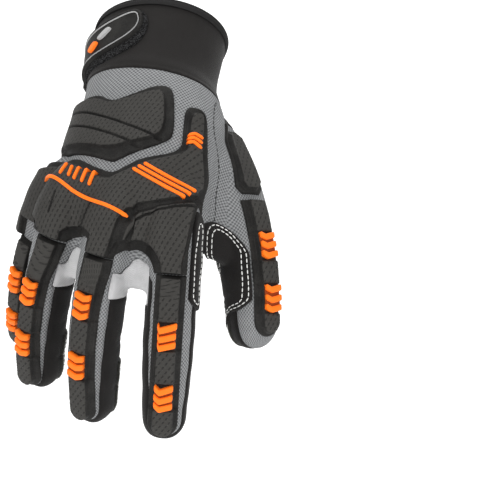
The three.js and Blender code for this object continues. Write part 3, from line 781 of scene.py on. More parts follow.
def settle(piece: bpy.types.Object, slot: str, *nodes: str) -> bpy.types.Object:
    """Fixes a piece to the glove, hides the nodes that it stands for and logs how many faces it has."""
    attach(piece, "root")
    if nodes:
        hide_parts(*nodes)
    faces = len(piece.data.polygons)
    LOG.info("%s: %d faces", piece.name, faces)
    return piece


@dataclass
class Relief:
    """A piece that lies on a surface and follows it.

    name is the piece's name, field is positive inside its outline, and height gives millimetres over the
    surface. floor is the height of its underside, cuts is how often each face of the surface is divided, and
    marks gives a number for each place that its finish may read as the attribute called lift.
    """

    name: str
    field: Field
    height: Height
    floor: float
    cuts: int = 1
    marks: Height | None = None
    least: int = 30

    def build(self, surface: Surface) -> bmesh.types.BMesh:
        """Cuts the piece out of a surface, raises its top and closes its underside.

        Args:
            surface: What it lies on.

        Returns:
            The closed mesh, in the hand's frame.
        """
        mesh = surface.cropped(self.field, 2.6, self.cuts)
        trim(mesh, self.field)
        largest_part(mesh, self.least)
        lone = [v for v in mesh.verts if not v.link_faces]
        bmesh.ops.delete(mesh, geom=lone, context="VERTS")
        up = mesh.verts.layers.float_vector["up"]
        lift = mesh.verts.layers.float.new("lift")
        lower = mesh.faces[:]
        made = bmesh.ops.extrude_face_region(mesh, geom=lower, use_keep_orig=True)["geom"]
        raised = [g for g in made if isinstance(g, bmesh.types.BMVert)]
        high = set(raised)
        places = np.array([v.co[:] for v in raised])
        inside = self.field(places)
        heights = self.height(places, inside)
        marks = self.marks(places, inside) if self.marks else heights
        for vert, height, mark in zip(raised, heights, marks):
            vert.co += vert[up].normalized() * float(height)
            vert[lift] = mark
        for vert in mesh.verts:
            if vert not in high:
                vert.co += vert[up].normalized() * self.floor
                vert[lift] = -1
        bmesh.ops.reverse_faces(mesh, faces=[f for f in lower if f.is_valid])
        mesh.normal_update()
        return mesh


class Wire:
    """A number that runs through a material, which can be reckoned with."""

    def __init__(self, graph: Graph, socket: bpy.types.NodeSocket) -> None:
        """Keeps the socket that the number comes out of."""
        self.graph = graph
        self.socket = socket

    def math(self, operation: str, *others: Wire | float) -> Wire:
        """Returns the result of a maths node on this number and others."""
        inputs = {index: value for index, value in enumerate((self, *others))}
        made = self.graph.node("ShaderNodeMath", {"operation": operation}, inputs)
        return Wire(self.graph, made.outputs[0])

    def __add__(self, other: Wire | float) -> Wire:
        """Returns the sum."""
        return self.math("ADD", other)

    __radd__ = __add__

    def __sub__(self, other: Wire | float) -> Wire:
        """Returns the difference."""
        return self.math("SUBTRACT", other)

    def __rsub__(self, other: float) -> Wire:
        """Returns a plain number less this one."""
        return self.math("MULTIPLY", -1.0) + other

    def __mul__(self, other: Wire | float) -> Wire:
        """Returns the product."""
        return self.math("MULTIPLY", other)

    __rmul__ = __mul__

    def between(self, low: float, high: float) -> Wire:
        """Returns 0 below low and 1 above high, with a soft rise between them."""
        settings = {"interpolation_type": "SMOOTHSTEP"}
        inputs = {"Value": self, "From Min": low, "From Max": high}
        return Wire(self.graph, self.graph.node("ShaderNodeMapRange", settings, inputs).outputs[0])


class Graph:
    """A material's nodes, with its shader and the few patterns that the finishes share."""

    def __init__(self, name: str, roughness: float) -> None:
        """Makes the material.

        Args:
            name: The finish's name.
            roughness: How matt it is.
        """
        self.material = bpy.data.materials.new(name)
        self.material.use_nodes = True
        self.nodes = self.material.node_tree.nodes
        self.shader = self.nodes["Principled BSDF"]
        self.shader.inputs["Roughness"].default_value = roughness
        self.shader.inputs["Specular IOR Level"].default_value = 0.12

    def node(self, kind: str, settings: dict, inputs: dict) -> bpy.types.Node:
        """Adds a node.

        Args:
            kind: The node's type.
            settings: Its own settings, which are set first.
            inputs: A value or a wire for each socket, by name or number.

        Returns:
            The node.
        """
        made = self.nodes.new(kind)
        for key, value in settings.items():
            setattr(made, key, value)
        for key, value in inputs.items():
            source = value.socket if isinstance(value, Wire) else value
            if isinstance(source, bpy.types.NodeSocket):
                self.material.node_tree.links.new(source, made.inputs[key])
            else:
                made.inputs[key].default_value = source
        return made

    def number(self, name: str) -> Wire:
        """Returns an attribute of the piece as a number."""
        return Wire(self, self.node("ShaderNodeAttribute", {"attribute_name": name}, {}).outputs["Fac"])

    def cloth(self) -> tuple[bpy.types.NodeSocket, Wire, Wire, Wire]:
        """Returns the place on the cloth, in millimetres, and its three parts."""
        place = self.node("ShaderNodeAttribute", {"attribute_name": "cloth"}, {}).outputs["Vector"]
        parts = self.node("ShaderNodeSeparateXYZ", {}, {0: place}).outputs
        return place, Wire(self, parts[0]), Wire(self, parts[1]), Wire(self, parts[2])

    def noise(
        self, scale: float, detail: float = 3.0, stretch: tuple[float, float, float] = (1, 1, 1)
    ) -> Wire:
        """Returns noise on the object's own coordinates.

        Args:
            scale: Its scale, in waves a metre.
            detail: How many finer waves it has.
            stretch: What each direction is multiplied by.
        """
        source = self.node("ShaderNodeTexCoord", {}, {}).outputs["Object"]
        place = self.node("ShaderNodeMapping", {}, {"Vector": source, "Scale": stretch}).outputs[0]
        made = self.node("ShaderNodeTexNoise", {}, {"Vector": place, "Scale": scale, "Detail": detail})
        return Wire(self, made.outputs["Fac"])

    def cells(self, scale: float, feature: str = "F1") -> Wire:
        """Returns the distance to the cells of a Voronoi pattern on the object's coordinates."""
        source = self.node("ShaderNodeTexCoord", {}, {}).outputs["Object"]
        made = self.node("ShaderNodeTexVoronoi", {"feature": feature}, {"Vector": source, "Scale": scale})
        return Wire(self, made.outputs["Distance"])

    def mix(self, share: Wire, low: Colour, high: Colour) -> bpy.types.NodeSocket:
        """Returns a colour between two others."""
        whole = {6: low, 7: high}
        colours = {key: (*c, 1) if isinstance(c, tuple) else c for key, c in whole.items()}
        return self.node("ShaderNodeMix", {"data_type": "RGBA"}, {0: share, **colours}).outputs[2]

    def finish(
        self, colour: Colour, bump: Wire, depth: float, roughness: Wire | None = None
    ) -> bpy.types.Material:
        """Feeds the shader.

        Args:
            colour: The base colour.
            bump: The height of the fine relief, from 0 to 1.
            depth: What that height is multiplied by, in metres.
            roughness: Its roughness, where that varies.

        Returns:
            The finished material.
        """
        if isinstance(colour, tuple):
            self.shader.inputs["Base Color"].default_value = (*colour, 1)
        else:
            self.material.node_tree.links.new(colour, self.shader.inputs["Base Color"])
        made = self.node("ShaderNodeBump", {}, {"Height": bump, "Distance": depth, "Strength": 1.0})
        self.material.node_tree.links.new(made.outputs[0], self.shader.inputs["Normal"])
        if roughness:
            self.material.node_tree.links.new(roughness.socket, self.shader.inputs["Roughness"])
        return self.material


class Finish(Enum):
    """The finishes of the glove."""

    KNIT = "knitted_mesh"
    SUEDE = "palm_suede"
    LEATHER = "pad_leather"
    LINING = "stretch_lining"
    NEOPRENE = "cuff_cloth"
    BINDING = "edge_binding"
    HOOK = "hook_cloth"
    RUBBER = "guard_rubber"
    ORANGE = "orange_rubber"
    PALE = "pale_rubber"
    THREAD = "white_thread"
    DARK_THREAD = "dark_thread"
    STUDIO = "studio_paper"


def knit_pattern(graph: Graph, width: float, height: float) -> Wire:
    """Returns the relief of a knitted mesh: staggered loops with small holes between them.

    Args:
        graph: The material.
        width: The width of a loop, in millimetres.
        height: Its height.
    """
    _, across, along, _ = graph.cloth()
    u = across * (2 * math.pi / width)
    v = along * (2 * math.pi / height)
    return (u.math("SINE") * v.math("SINE")) * 0.5 + 0.5


def knitted_mesh() -> bpy.types.Material:
    """Returns grey mesh with light loops round small dark holes."""
    graph = Graph(Finish.KNIT.value, 0.85)
    loops = knit_pattern(graph, 1.7, 2.0)
    blotches = graph.noise(160, 2)
    shade = loops.between(0.15, 0.75) * 0.8 + blotches * 0.2
    colour = graph.mix(shade, (0.075, 0.078, 0.08), (0.29, 0.295, 0.3))
    return graph.finish(colour, loops.between(0.1, 0.9), 0.00025)


def palm_suede() -> bpy.types.Material:
    """Returns black suede with a short nap and faint patches."""
    graph = Graph(Finish.SUEDE.value, 0.95)
    nap = graph.noise(2600, 4)
    patches = graph.noise(90, 2)
    colour = graph.mix(nap * 0.55 + patches * 0.45, (0.005, 0.0047, 0.0045), (0.018, 0.0165, 0.016))
    graph.shader.inputs["Sheen Weight"].default_value = 0.08
    return graph.finish(colour, nap, 0.00018)


def pad_leather() -> bpy.types.Material:
    """Returns dark olive-grey leather with a fine grain and a slight gloss."""
    graph = Graph(Finish.LEATHER.value, 0.42)
    grain = graph.cells(1500, "DISTANCE_TO_EDGE").between(0.0, 0.25)
    patches = graph.noise(120, 3)
    colour = graph.mix(grain * 0.5 + patches * 0.5, (0.016, 0.016, 0.014), (0.055, 0.054, 0.047))
    return graph.finish(colour, grain, 0.00012, patches * 0.2 + 0.33)


def stretch_lining() -> bpy.types.Material:
    """Returns light grey stretch cloth with a fine rib and soft patches of painted fold shade."""
    graph = Graph(Finish.LINING.value, 0.8)
    ribs = knit_pattern(graph, 1.0, 1.0)
    # Painted shade: the noise darkens the cloth in soft patches that stand in for the shade of its folds.
    shade = graph.noise(140, 2)
    colour = graph.mix(shade, (0.36, 0.36, 0.365), (0.54, 0.54, 0.545))
    graph.shader.inputs["Sheen Weight"].default_value = 0.2
    return graph.finish(colour, ribs, 0.00012)


def cuff_cloth() -> bpy.types.Material:
    """Returns warm black foam-backed cloth with a fine jersey face."""
    graph = Graph(Finish.NEOPRENE.value, 0.82)
    face = graph.noise(3200, 2, (1, 1, 2.2))
    patches = graph.noise(70, 2)
    colour = graph.mix(face * 0.5 + patches * 0.5, (0.006, 0.0052, 0.0048), (0.014, 0.0125, 0.0117))
    graph.shader.inputs["Sheen Weight"].default_value = 0.12
    return graph.finish(colour, face, 0.0001)


def edge_binding() -> bpy.types.Material:
    """Returns black woven tape."""
    graph = Graph(Finish.BINDING.value, 0.75)
    weave = knit_pattern(graph, 0.9, 1.4)
    colour = graph.mix(weave, (0.006, 0.006, 0.006), (0.026, 0.025, 0.025))
    return graph.finish(colour, weave, 0.00016)


def hook_cloth() -> bpy.types.Material:
    """Returns black cloth with a dense pile of small hooks."""
    graph = Graph(Finish.HOOK.value, 0.9)
    pile = graph.cells(1400)
    colour = graph.mix(pile.between(0.1, 0.7), (0.05, 0.05, 0.052), (0.004, 0.004, 0.004))
    return graph.finish(colour, 1 - pile, 0.0006)


def guard_rubber() -> bpy.types.Material:
    """Returns charcoal rubber: a darker flange, and a raised face with rows of small slanted dimples, which
    are darkened with painted shade.
    """
    graph = Graph(Finish.RUBBER.value, 0.5)
    lift = graph.number("lift")
    _, across, along, _ = graph.cloth()
    pitch, row = 2.7, 2.2
    rows = along * (1 / row)
    odd = rows.math("FLOOR").math("FLOORED_MODULO", 2.0)
    u = ((across * (1 / pitch) + odd * 0.5).math("FRACT") - 0.5) * pitch
    v = (rows.math("FRACT") - 0.5) * row
    tick = (u - v * 0.45).math("ABSOLUTE").between(0.48, 0.2) * v.math("ABSOLUTE").between(0.85, 0.5)
    face = lift.between(LAYER.guard - 0.45, LAYER.guard - 0.15)
    tick = tick * face
    grain = graph.noise(1500, 3)
    worn = graph.noise(110, 2)
    base = graph.mix(face, (0.009, 0.0086, 0.0082), (0.036, 0.0345, 0.032))
    varied = graph.mix((grain * 0.5 + worn * 0.5).between(0.35, 0.7) * 0.3, base, (0.06, 0.058, 0.054))
    # Painted shade: the dimples are darkened in colour as well as sunk by the bump.
    colour = graph.mix(tick * 0.6, varied, (0.008, 0.008, 0.0075))
    return graph.finish(colour, grain * 0.12 - tick * 0.8, 0.0003, worn * 0.2 + 0.5)


def orange_rubber() -> bpy.types.Material:
    """Returns bright orange rubber, with painted shade that darkens low pieces, such as the thin base at the
    foot of each rib, to brown.
    """
    graph = Graph(Finish.ORANGE.value, 0.45)
    lift = graph.number("lift")
    grain = graph.noise(900, 2)
    # Painted shade: where lift is low, as on the thin base between the ribs, the orange is darkened to brown.
    deep = graph.mix(lift.between(0.2, 1.0), (0.16, 0.018, 0.003), (0.95, 0.165, 0.01))
    colour = graph.mix(grain * 0.2, deep, (1.0, 0.26, 0.025))
    return graph.finish(colour, grain, 0.00006)


def pale_rubber() -> bpy.types.Material:
    """Returns pale grey rubber."""
    graph = Graph(Finish.PALE.value, 0.5)
    grain = graph.noise(900, 2)
    return graph.finish(graph.mix(grain, (0.3, 0.3, 0.3), (0.42, 0.42, 0.42)), grain, 0.00005)


def thread(finish: Finish, low: tuple, high: tuple) -> bpy.types.Material:
    """Returns twisted sewing thread between two colours."""
    graph = Graph(finish.value, 0.7)
    twist = graph.noise(5200, 1)
    return graph.finish(graph.mix(twist, low, high), twist, 0.0001)


def studio_paper() -> bpy.types.Material:
    """Returns plain white paper for the floor and backdrop."""
    graph = Graph(Finish.STUDIO.value, 0.9)
    graph.shader.inputs["Emission Color"].default_value = (1, 1, 1, 1)
    graph.shader.inputs["Emission Strength"].default_value = 0.45
    return graph.finish((0.92, 0.92, 0.92), graph.noise(40, 1), 0.00001)


def make_finishes() -> dict[Finish, bpy.types.Material]:
    """Makes every finish once."""
    return {
        Finish.KNIT: knitted_mesh(),
        Finish.SUEDE: palm_suede(),
        Finish.LEATHER: pad_leather(),
        Finish.LINING: stretch_lining(),
        Finish.NEOPRENE: cuff_cloth(),
        Finish.BINDING: edge_binding(),
        Finish.HOOK: hook_cloth(),
        Finish.RUBBER: guard_rubber(),
        Finish.ORANGE: orange_rubber(),
        Finish.PALE: pale_rubber(),
        Finish.THREAD: thread(Finish.THREAD, (0.6, 0.6, 0.58), (0.9, 0.9, 0.88)),
        Finish.DARK_THREAD: thread(Finish.DARK_THREAD, (0.02, 0.02, 0.02), (0.06, 0.06, 0.06)),
        Finish.STUDIO: studio_paper(),
    }


def contours(surface: Surface, field: Field, level: float) -> list[Points]:
    """Finds the lines on a surface where a field has one value.

    Args:
        surface: The surface.
        field: The field.
        level: The value.

    Returns:
        For each line its places and normals, one a row, in order.
    """
    mesh = surface.mesh
    values = field(surface.places) - level
    crossed = np.nonzero(values[surface.edges[:, 0]] * values[surface.edges[:, 1]] < 0)[0]
    links = {int(i): [] for i in crossed}
    seen = set()
    for index in links:
        for face in mesh.edges[index].link_faces:
            if face.index in seen:
                continue
            seen.add(face.index)
            ends = [e.index for e in face.edges if e.index in links]
            if len(ends) == 2:
                links[ends[0]].append(ends[1])
                links[ends[1]].append(ends[0])
    lines = []
    starts = sorted(links, key=lambda i: len(links[i]))
    used = set()
    for start in starts:
        path = []
        here = start
        while here is not None and here not in used:
            used.add(here)
            path.append(here)
            here = next((n for n in links[here] if n not in used), None)
        if len(path) > 4:
            if start in links[path[-1]]:
                path.append(start)
            a, b = surface.edges[path].T
            share = (values[a] / (values[a] - values[b]))[:, None]
            places = surface.places[a] * (1 - share) + surface.places[b] * share
            normals = surface.normals[a] * (1 - share) + surface.normals[b] * share
            lines.append(np.hstack([places, normals]))
    return lines


class Sewing:
    """Stitches that are joined into one piece."""

    length: float = 2.1
    gap: float = 0.75
    radius: float = 0.32

    def __init__(self) -> None:
        """Starts with no stitch."""
        self.mesh = bmesh.new()

    def run(self, line: Points) -> None:
        """Sews along a line.

        Args:
            line: The places and normals of its points, one a row.
        """
        for _ in range(3):
            line[1:-1] = line[1:-1] * 0.5 + (line[:-2] + line[2:]) * 0.25
        steps = np.linalg.norm(np.diff(line[:, :3], axis=0), axis=1)
        reach = np.concatenate([[0], np.cumsum(steps)])
        count = int(reach[-1] // (self.length + self.gap))
        if count < 2:
            return
        pitch = reach[-1] / count
        read = lambda at: np.array([np.interp(at, reach, line[:, k]) for k in range(6)])
        for number in range(count):
            first = read(number * pitch)
            last = read(number * pitch + self.length)
            onward = Vector(last[:3] - first[:3]).normalized()
            up = Vector(first[3:] + last[3:]).normalized()
            side = onward.cross(up).normalized()
            turn = Matrix((side, onward.cross(side), onward)).transposed().to_4x4()
            size = Matrix.Diagonal((self.radius, self.radius, self.length * 0.55, 1))
            move = Matrix.Translation((first[:3] + last[:3]) / 2 + np.array(up) * 0.1)
            matrix = move @ turn @ size
            bmesh.ops.create_uvsphere(self.mesh, u_segments=8, v_segments=6, radius=1, matrix=matrix)

    def follow(self, surface: Surface, relief: Relief, depth: float) -> None:
        """Sews a row on a relief, at a distance inside its edge.

        Args:
            surface: What the relief lies on.
            relief: The relief.
            depth: The distance.
        """
        for line in contours(surface, relief.field, depth):
            places = line[:, :3]
            rise = relief.height(places, relief.field(places))
            normals = line[:, 3:] / np.linalg.norm(line[:, 3:], axis=1)[:, None]
            self.run(np.hstack([places + normals * rise[:, None], normals]))

    def project(self, surface: Surface, line: Points, side: int) -> None:
        """Sews along a line drawn on the back or the palm.

        Args:
            surface: The surface that is sewn.
            line: The line's points in plan, in millimetres.
            side: -1 for the back and 1 for the palm.
        """
        found = surface.drape_plan(line, side, 9)
        if len(found) > 5:
            self.run(found)


class Bars:
    """Moulded bars with flat tops and square ends, joined into one piece."""

    corner: float = 0.5

    def __init__(self) -> None:
        """Starts with no bar."""
        self.mesh = bmesh.new()
        self.lift = self.mesh.verts.layers.float.new("lift")

    def run(
        self,
        line: Points,
        width: float,
        low: float,
        high: float,
        mark: float = 1.2,
        side: Points | None = None,
    ) -> None:
        """Lays a bar along a line.

        Args:
            line: The places and normals of its points, one a row.
            width: The bar's width.
            low: The height of its underside over the line.
            high: The height of its top.
            mark: The number that its finish reads as the attribute called lift.
            side: The direction of its width, if that isn't square to the line.
        """
        places = line[:, :3]
        ups = line[:, 3:] / np.linalg.norm(line[:, 3:], axis=1)[:, None]
        if side is None:
            sides = np.cross(np.gradient(places, axis=0), ups)
        else:
            sides = np.tile(side, (len(places), 1))
        sides /= np.linalg.norm(sides, axis=1)[:, None]
        rings = []
        for index, (place, side, up) in enumerate(zip(places, sides, ups)):
            inset = self.corner * 0.7 if index in (0, len(places) - 1) else 0.0
            half, top, turn = width / 2 - inset, high - inset, self.corner
            bevel = 0.3 * turn
            right = [(half, low), (half, top - turn), (half - bevel, top - bevel), (half - turn, top)]
            profile = [*right, *((-x, y) for x, y in reversed(right))]
            rings.append(np.array([place + side * x + up * y for x, y in profile]))
        old = set(self.mesh.verts)
        bridge_rings(self.mesh, rings)
        for vert in self.mesh.verts:
            if vert not in old:
                vert[self.lift] = mark


@dataclass(frozen=True)
class StripSize:
    """The rubber strip on a digit.

    start is a share of the length, ribs are the shares of its two groups of ribs, and flange and face are
    shares of the width. shift moves the strip towards the thumb, in millimetres, at its start and further on.
    apex is where its ribs turn, as a share of their half width, and rise is how far they climb from there.
    """

    digit: Digit
    start: float
    ribs: tuple[float, float]
    shift: tuple[float, float] = (0.0, 0.0)
    apex: tuple[float, float] = (0.0, 0.0)
    rise: float = 1.3
    flange: float = 0.285
    face: float = 0.165

    def middle(self, along: Points) -> Points:
        """Returns how far the strip's middle lies from the digit's, in millimetres."""
        first, last = self.shift
        return first + (last - first) * smooth_step(along, self.start * self.digit.length, 48)

    def bar(self, start: float, end: float, half: float) -> Field:
        """Returns the field of a bar along the strip's middle, with a round end at the tip.

        Args:
            start: Where it starts, in millimetres.
            end: Where it ends.
            half: Half its width.
        """
        digit = self.digit

        def field(points: Points) -> Points:
            across, along, above = digit.local(points)
            past = np.maximum(along - (end - half), 0)
            inside = np.minimum(half - np.hypot(across - self.middle(along), past), along - start)
            return np.minimum(inside, np.where(digit.near(points) < 1.6, above - 0.1 * digit.depth, -9.0))

        return field


STRIPS = (
    StripSize(INDEX, 0.248, (0.494, 0.753), (-0.3, -0.4), (-0.9, -0.45), 2.4),
    StripSize(MIDDLE, 0.19, (0.402, 0.667), (3.0, 1.4), (0.25, 0.2)),
    StripSize(RING, 0.185, (0.447, 0.703), (4.0, 1.6), (0.2, 0.1)),
    StripSize(LITTLE, 0.31, (0.535, 0.782), (1.0, 0.6)),
    StripSize(THUMB, 0.46, (0.638, 0.819), (0.0, 0.0), (-0.35, -0.35), 1.4),
)


class Part:
    """What every sub-assembly is given: the filled form and the finishes."""

    def __init__(self, surface: Surface, finishes: dict[Finish, bpy.types.Material]) -> None:
        """Keeps the surface that the pieces lie on and the finishes that dress them."""
        self.surface = surface
        self.finishes = finishes

    def place(
        self,
        relief: Relief,
        finish: Finish,
        slot: str,
        *nodes: str,
        surface: Surface | None = None,
        layout: Height = weave_map,
    ) -> bpy.types.Object:
        """Builds a relief and fixes it to the glove.

        Args:
            relief: The piece.
            finish: Its finish.
            slot: Its material slot; not used.
            *nodes: The nodes that it stands for.
            surface: What it lies on, if not the filled form.
            layout: How its pattern lies on it.

        Returns:
            The finished object.
        """
        mesh = relief.build(surface or self.surface)
        mesh.verts.layers.float_vector.remove(mesh.verts.layers.float_vector["up"])
        return settle(publish(mesh, relief.name, self.finishes[finish], layout), slot, *nodes)

    def mould(self, bars: Bars, name: str, node: str) -> bpy.types.Object:
        """Fixes orange bars to the glove as one piece, which stands for a node."""
        return settle(publish(bars.mesh, name, self.finishes[Finish.ORANGE], plan_map), "orange", node)

    def stitch(self, sewing: Sewing, name: str, finish: Finish, slot: str) -> bpy.types.Object:
        """Fixes stitches to the glove as one piece."""
        return settle(publish(sewing.mesh, name, self.finishes[finish], plan_map), slot)


class Cloth(Part):
    """The cloth of the hand: its grey back, its suede palm and the light gussets between the fingers."""

    parting: float = 0.33
    thumb_parting: float = 0.05
    body_parting: float = -0.08
    back_end: float = 1.44
    back_edge: float = 0.46
    finger_back: float = 0.56
    seam_width: float = 1.3
    seam_depth: float = 0.7
    gusset_start: float = 0.5
    gusset_insets: tuple[float, float] = (0.48, 0.42)
    last_insets: tuple[float, float] = (0.34, 0.26)
    gusset_margin: float = 3.6

    def seam_height(self, points: Points) -> Points:
        """Returns how far places lie below the sloping seam of the cuff, in millimetres."""
        slope = math.radians(HAND.seam_slope)
        fall = -HAND.cuff_length - HAND.seam_lap - points[:, 2]
        return fall * math.cos(slope) - points[:, 0] * math.sin(slope)

    def back_field(self, points: Points) -> Points:
        """Tells how far places lie inside the grey back."""
        edge = self.back_edge * HAND.hand_width - points[:, 0]
        side = -self.body_parting * HAND.hand_depth - points[:, 1]
        foot = points[:, 2] + HAND.cuff_length + self.back_end * HAND.palm_length
        best = np.minimum(np.minimum(edge, side), foot)
        for digit in FINGERS:
            across, along, above = digit.local(points)
            low = self.parting - 0.0015 * np.clip(across * 4, -20, 40)
            mine = np.minimum(self.finger_back * digit.width - np.abs(across), above - low * digit.depth)
            best = np.maximum(best, np.minimum(mine, along + digit.width))
        across, along, above = THUMB.local(points)
        mine = np.minimum(above - self.thumb_parting * THUMB.depth, along + THUMB.width / 2)
        return np.maximum(best, np.where(np.abs(across) < 40, mine, -9.0))

    def gusset_field(self, web: Web) -> Field:
        """Returns the field of the gusset between two fingers."""
        plate = rounded(HAND.plan(BackGuards.plate))

        def field(points: Points) -> Points:
            a, b = web.thumb_side, web.little_side
            across_a, along_a, _ = a.local(points)
            across_b, along_b, _ = b.local(points)
            first, second = self.last_insets if web is WEBS[-1] else self.gusset_insets
            sides = np.minimum(-first * a.width - across_a, across_b - second * b.width)
            start_a, start_b = self.gusset_start * web.reach_a, self.gusset_start * web.reach_b
            start = np.minimum(along_a - start_a, along_b - start_b)
            end = np.minimum(web.reach_a + 8 - along_a, web.reach_b + 4 - along_b)
            clear = -self.gusset_margin - inside_distance(points[:, [0, 2]], plate)
            clear = np.where(points[:, 1] < 8, clear, 99)
            return np.minimum(np.minimum(sides, start), np.minimum(end, clear))

        return field

    def gussets(self, points: Points) -> Points:
        """Tells how far places lie inside the nearest gusset."""
        return np.max([self.gusset_field(web)(points) for web in WEBS], 0)

    def seam(self, values: Points) -> Points:
        """Returns the dip along a seam, in millimetres, from the distance to it."""
        return -self.seam_depth * (1 - smooth_step(np.abs(values), 0, self.seam_width))

    def panel(self, name: str, field: Field) -> bmesh.types.BMesh:
        """Cuts a panel of cloth, sinks its edges into the seams and gives it its thickness.

        Args:
            name: What the log calls it.
            field: Positive inside the panel.

        Returns:
            The closed panel.
        """
        mesh = self.surface.cropped(field, 2.6, 0)
        trim(mesh, field)
        largest_part(mesh)
        bmesh.ops.delete(mesh, geom=[v for v in mesh.verts if not v.link_faces], context="VERTS")
        dips = self.seam(field(vertex_array(mesh)))
        up = mesh.verts.layers.float_vector["up"]
        for vert, dip in zip(mesh.verts, dips):
            vert.co += vert[up] * dip
        outer = mesh.faces[:]
        made = bmesh.ops.extrude_face_region(mesh, geom=outer, use_keep_orig=True)["geom"]
        for item in made:
            if isinstance(item, bmesh.types.BMVert):
                item.co -= item[up].normalized() * LAYER.cloth
        bmesh.ops.recalc_face_normals(mesh, faces=mesh.faces[:])
        mesh.verts.layers.float_vector.remove(mesh.verts.layers.float_vector["up"])
        LOG.info("%s cut", name)
        return mesh

    def build(self) -> None:
        """Makes the panels."""

        def grey(points: Points) -> Points:
            inside = np.minimum(self.back_field(points), -self.gussets(points) - 0.2)
            return np.minimum(inside, self.seam_height(points))

        def black(points: Points) -> Points:
            inside = np.minimum(-self.back_field(points), -self.gussets(points) - 0.2)
            return np.minimum(inside, self.seam_height(points))

        back = publish(self.panel("hand_back", grey), "back_mesh", self.finishes[Finish.KNIT], weave_map)
        settle(back, "mesh", "hand_back")
        palm = publish(self.panel("palm_panel", black), "palm_suede", self.finishes[Finish.SUEDE], weave_map)
        settle(palm, "suede", "palm_panel")
        names = ("index_middle", "middle_ring", "ring_little")
        for web, name in zip(WEBS, names):
            mesh = self.panel(f"gusset_{name}", self.gusset_field(web))
            piece = publish(mesh, f"gusset_cloth_{name}", self.finishes[Finish.LINING], weave_map)
            settle(piece, "lining", f"gusset_{name}")


def stepped(face: Field, dips: Field | None = None) -> Height:
    """Returns the height of a guard: a low rounded flange and a raised face with sloped sides.

    Args:
        face: Positive inside the raised face.
        dips: How much is taken off the top, in millimetres.
    """

    def height(points: Points, inside: Points) -> Points:
        low = LAYER.flange * (0.25 + 0.75 * round_rise(inside, 1.0))
        rise = smooth_step(face(points), -0.8, 0.4) * (LAYER.guard - LAYER.flange)
        made = low + rise
        return made - (np.minimum(dips(points), made - 0.5) if dips else 0)

    return height


def groove(lines: list[Points], width: float, depth: float) -> Field:
    """Returns how deep grooves along some lines are, in millimetres."""

    def field(points: Points) -> Points:
        flat = points[:, [0, 2]]
        near = np.min([line_distance(flat, line) for line in lines], 0)
        return depth * (1 - smooth_step(near, width * 0.2, width * 0.75))

    return field


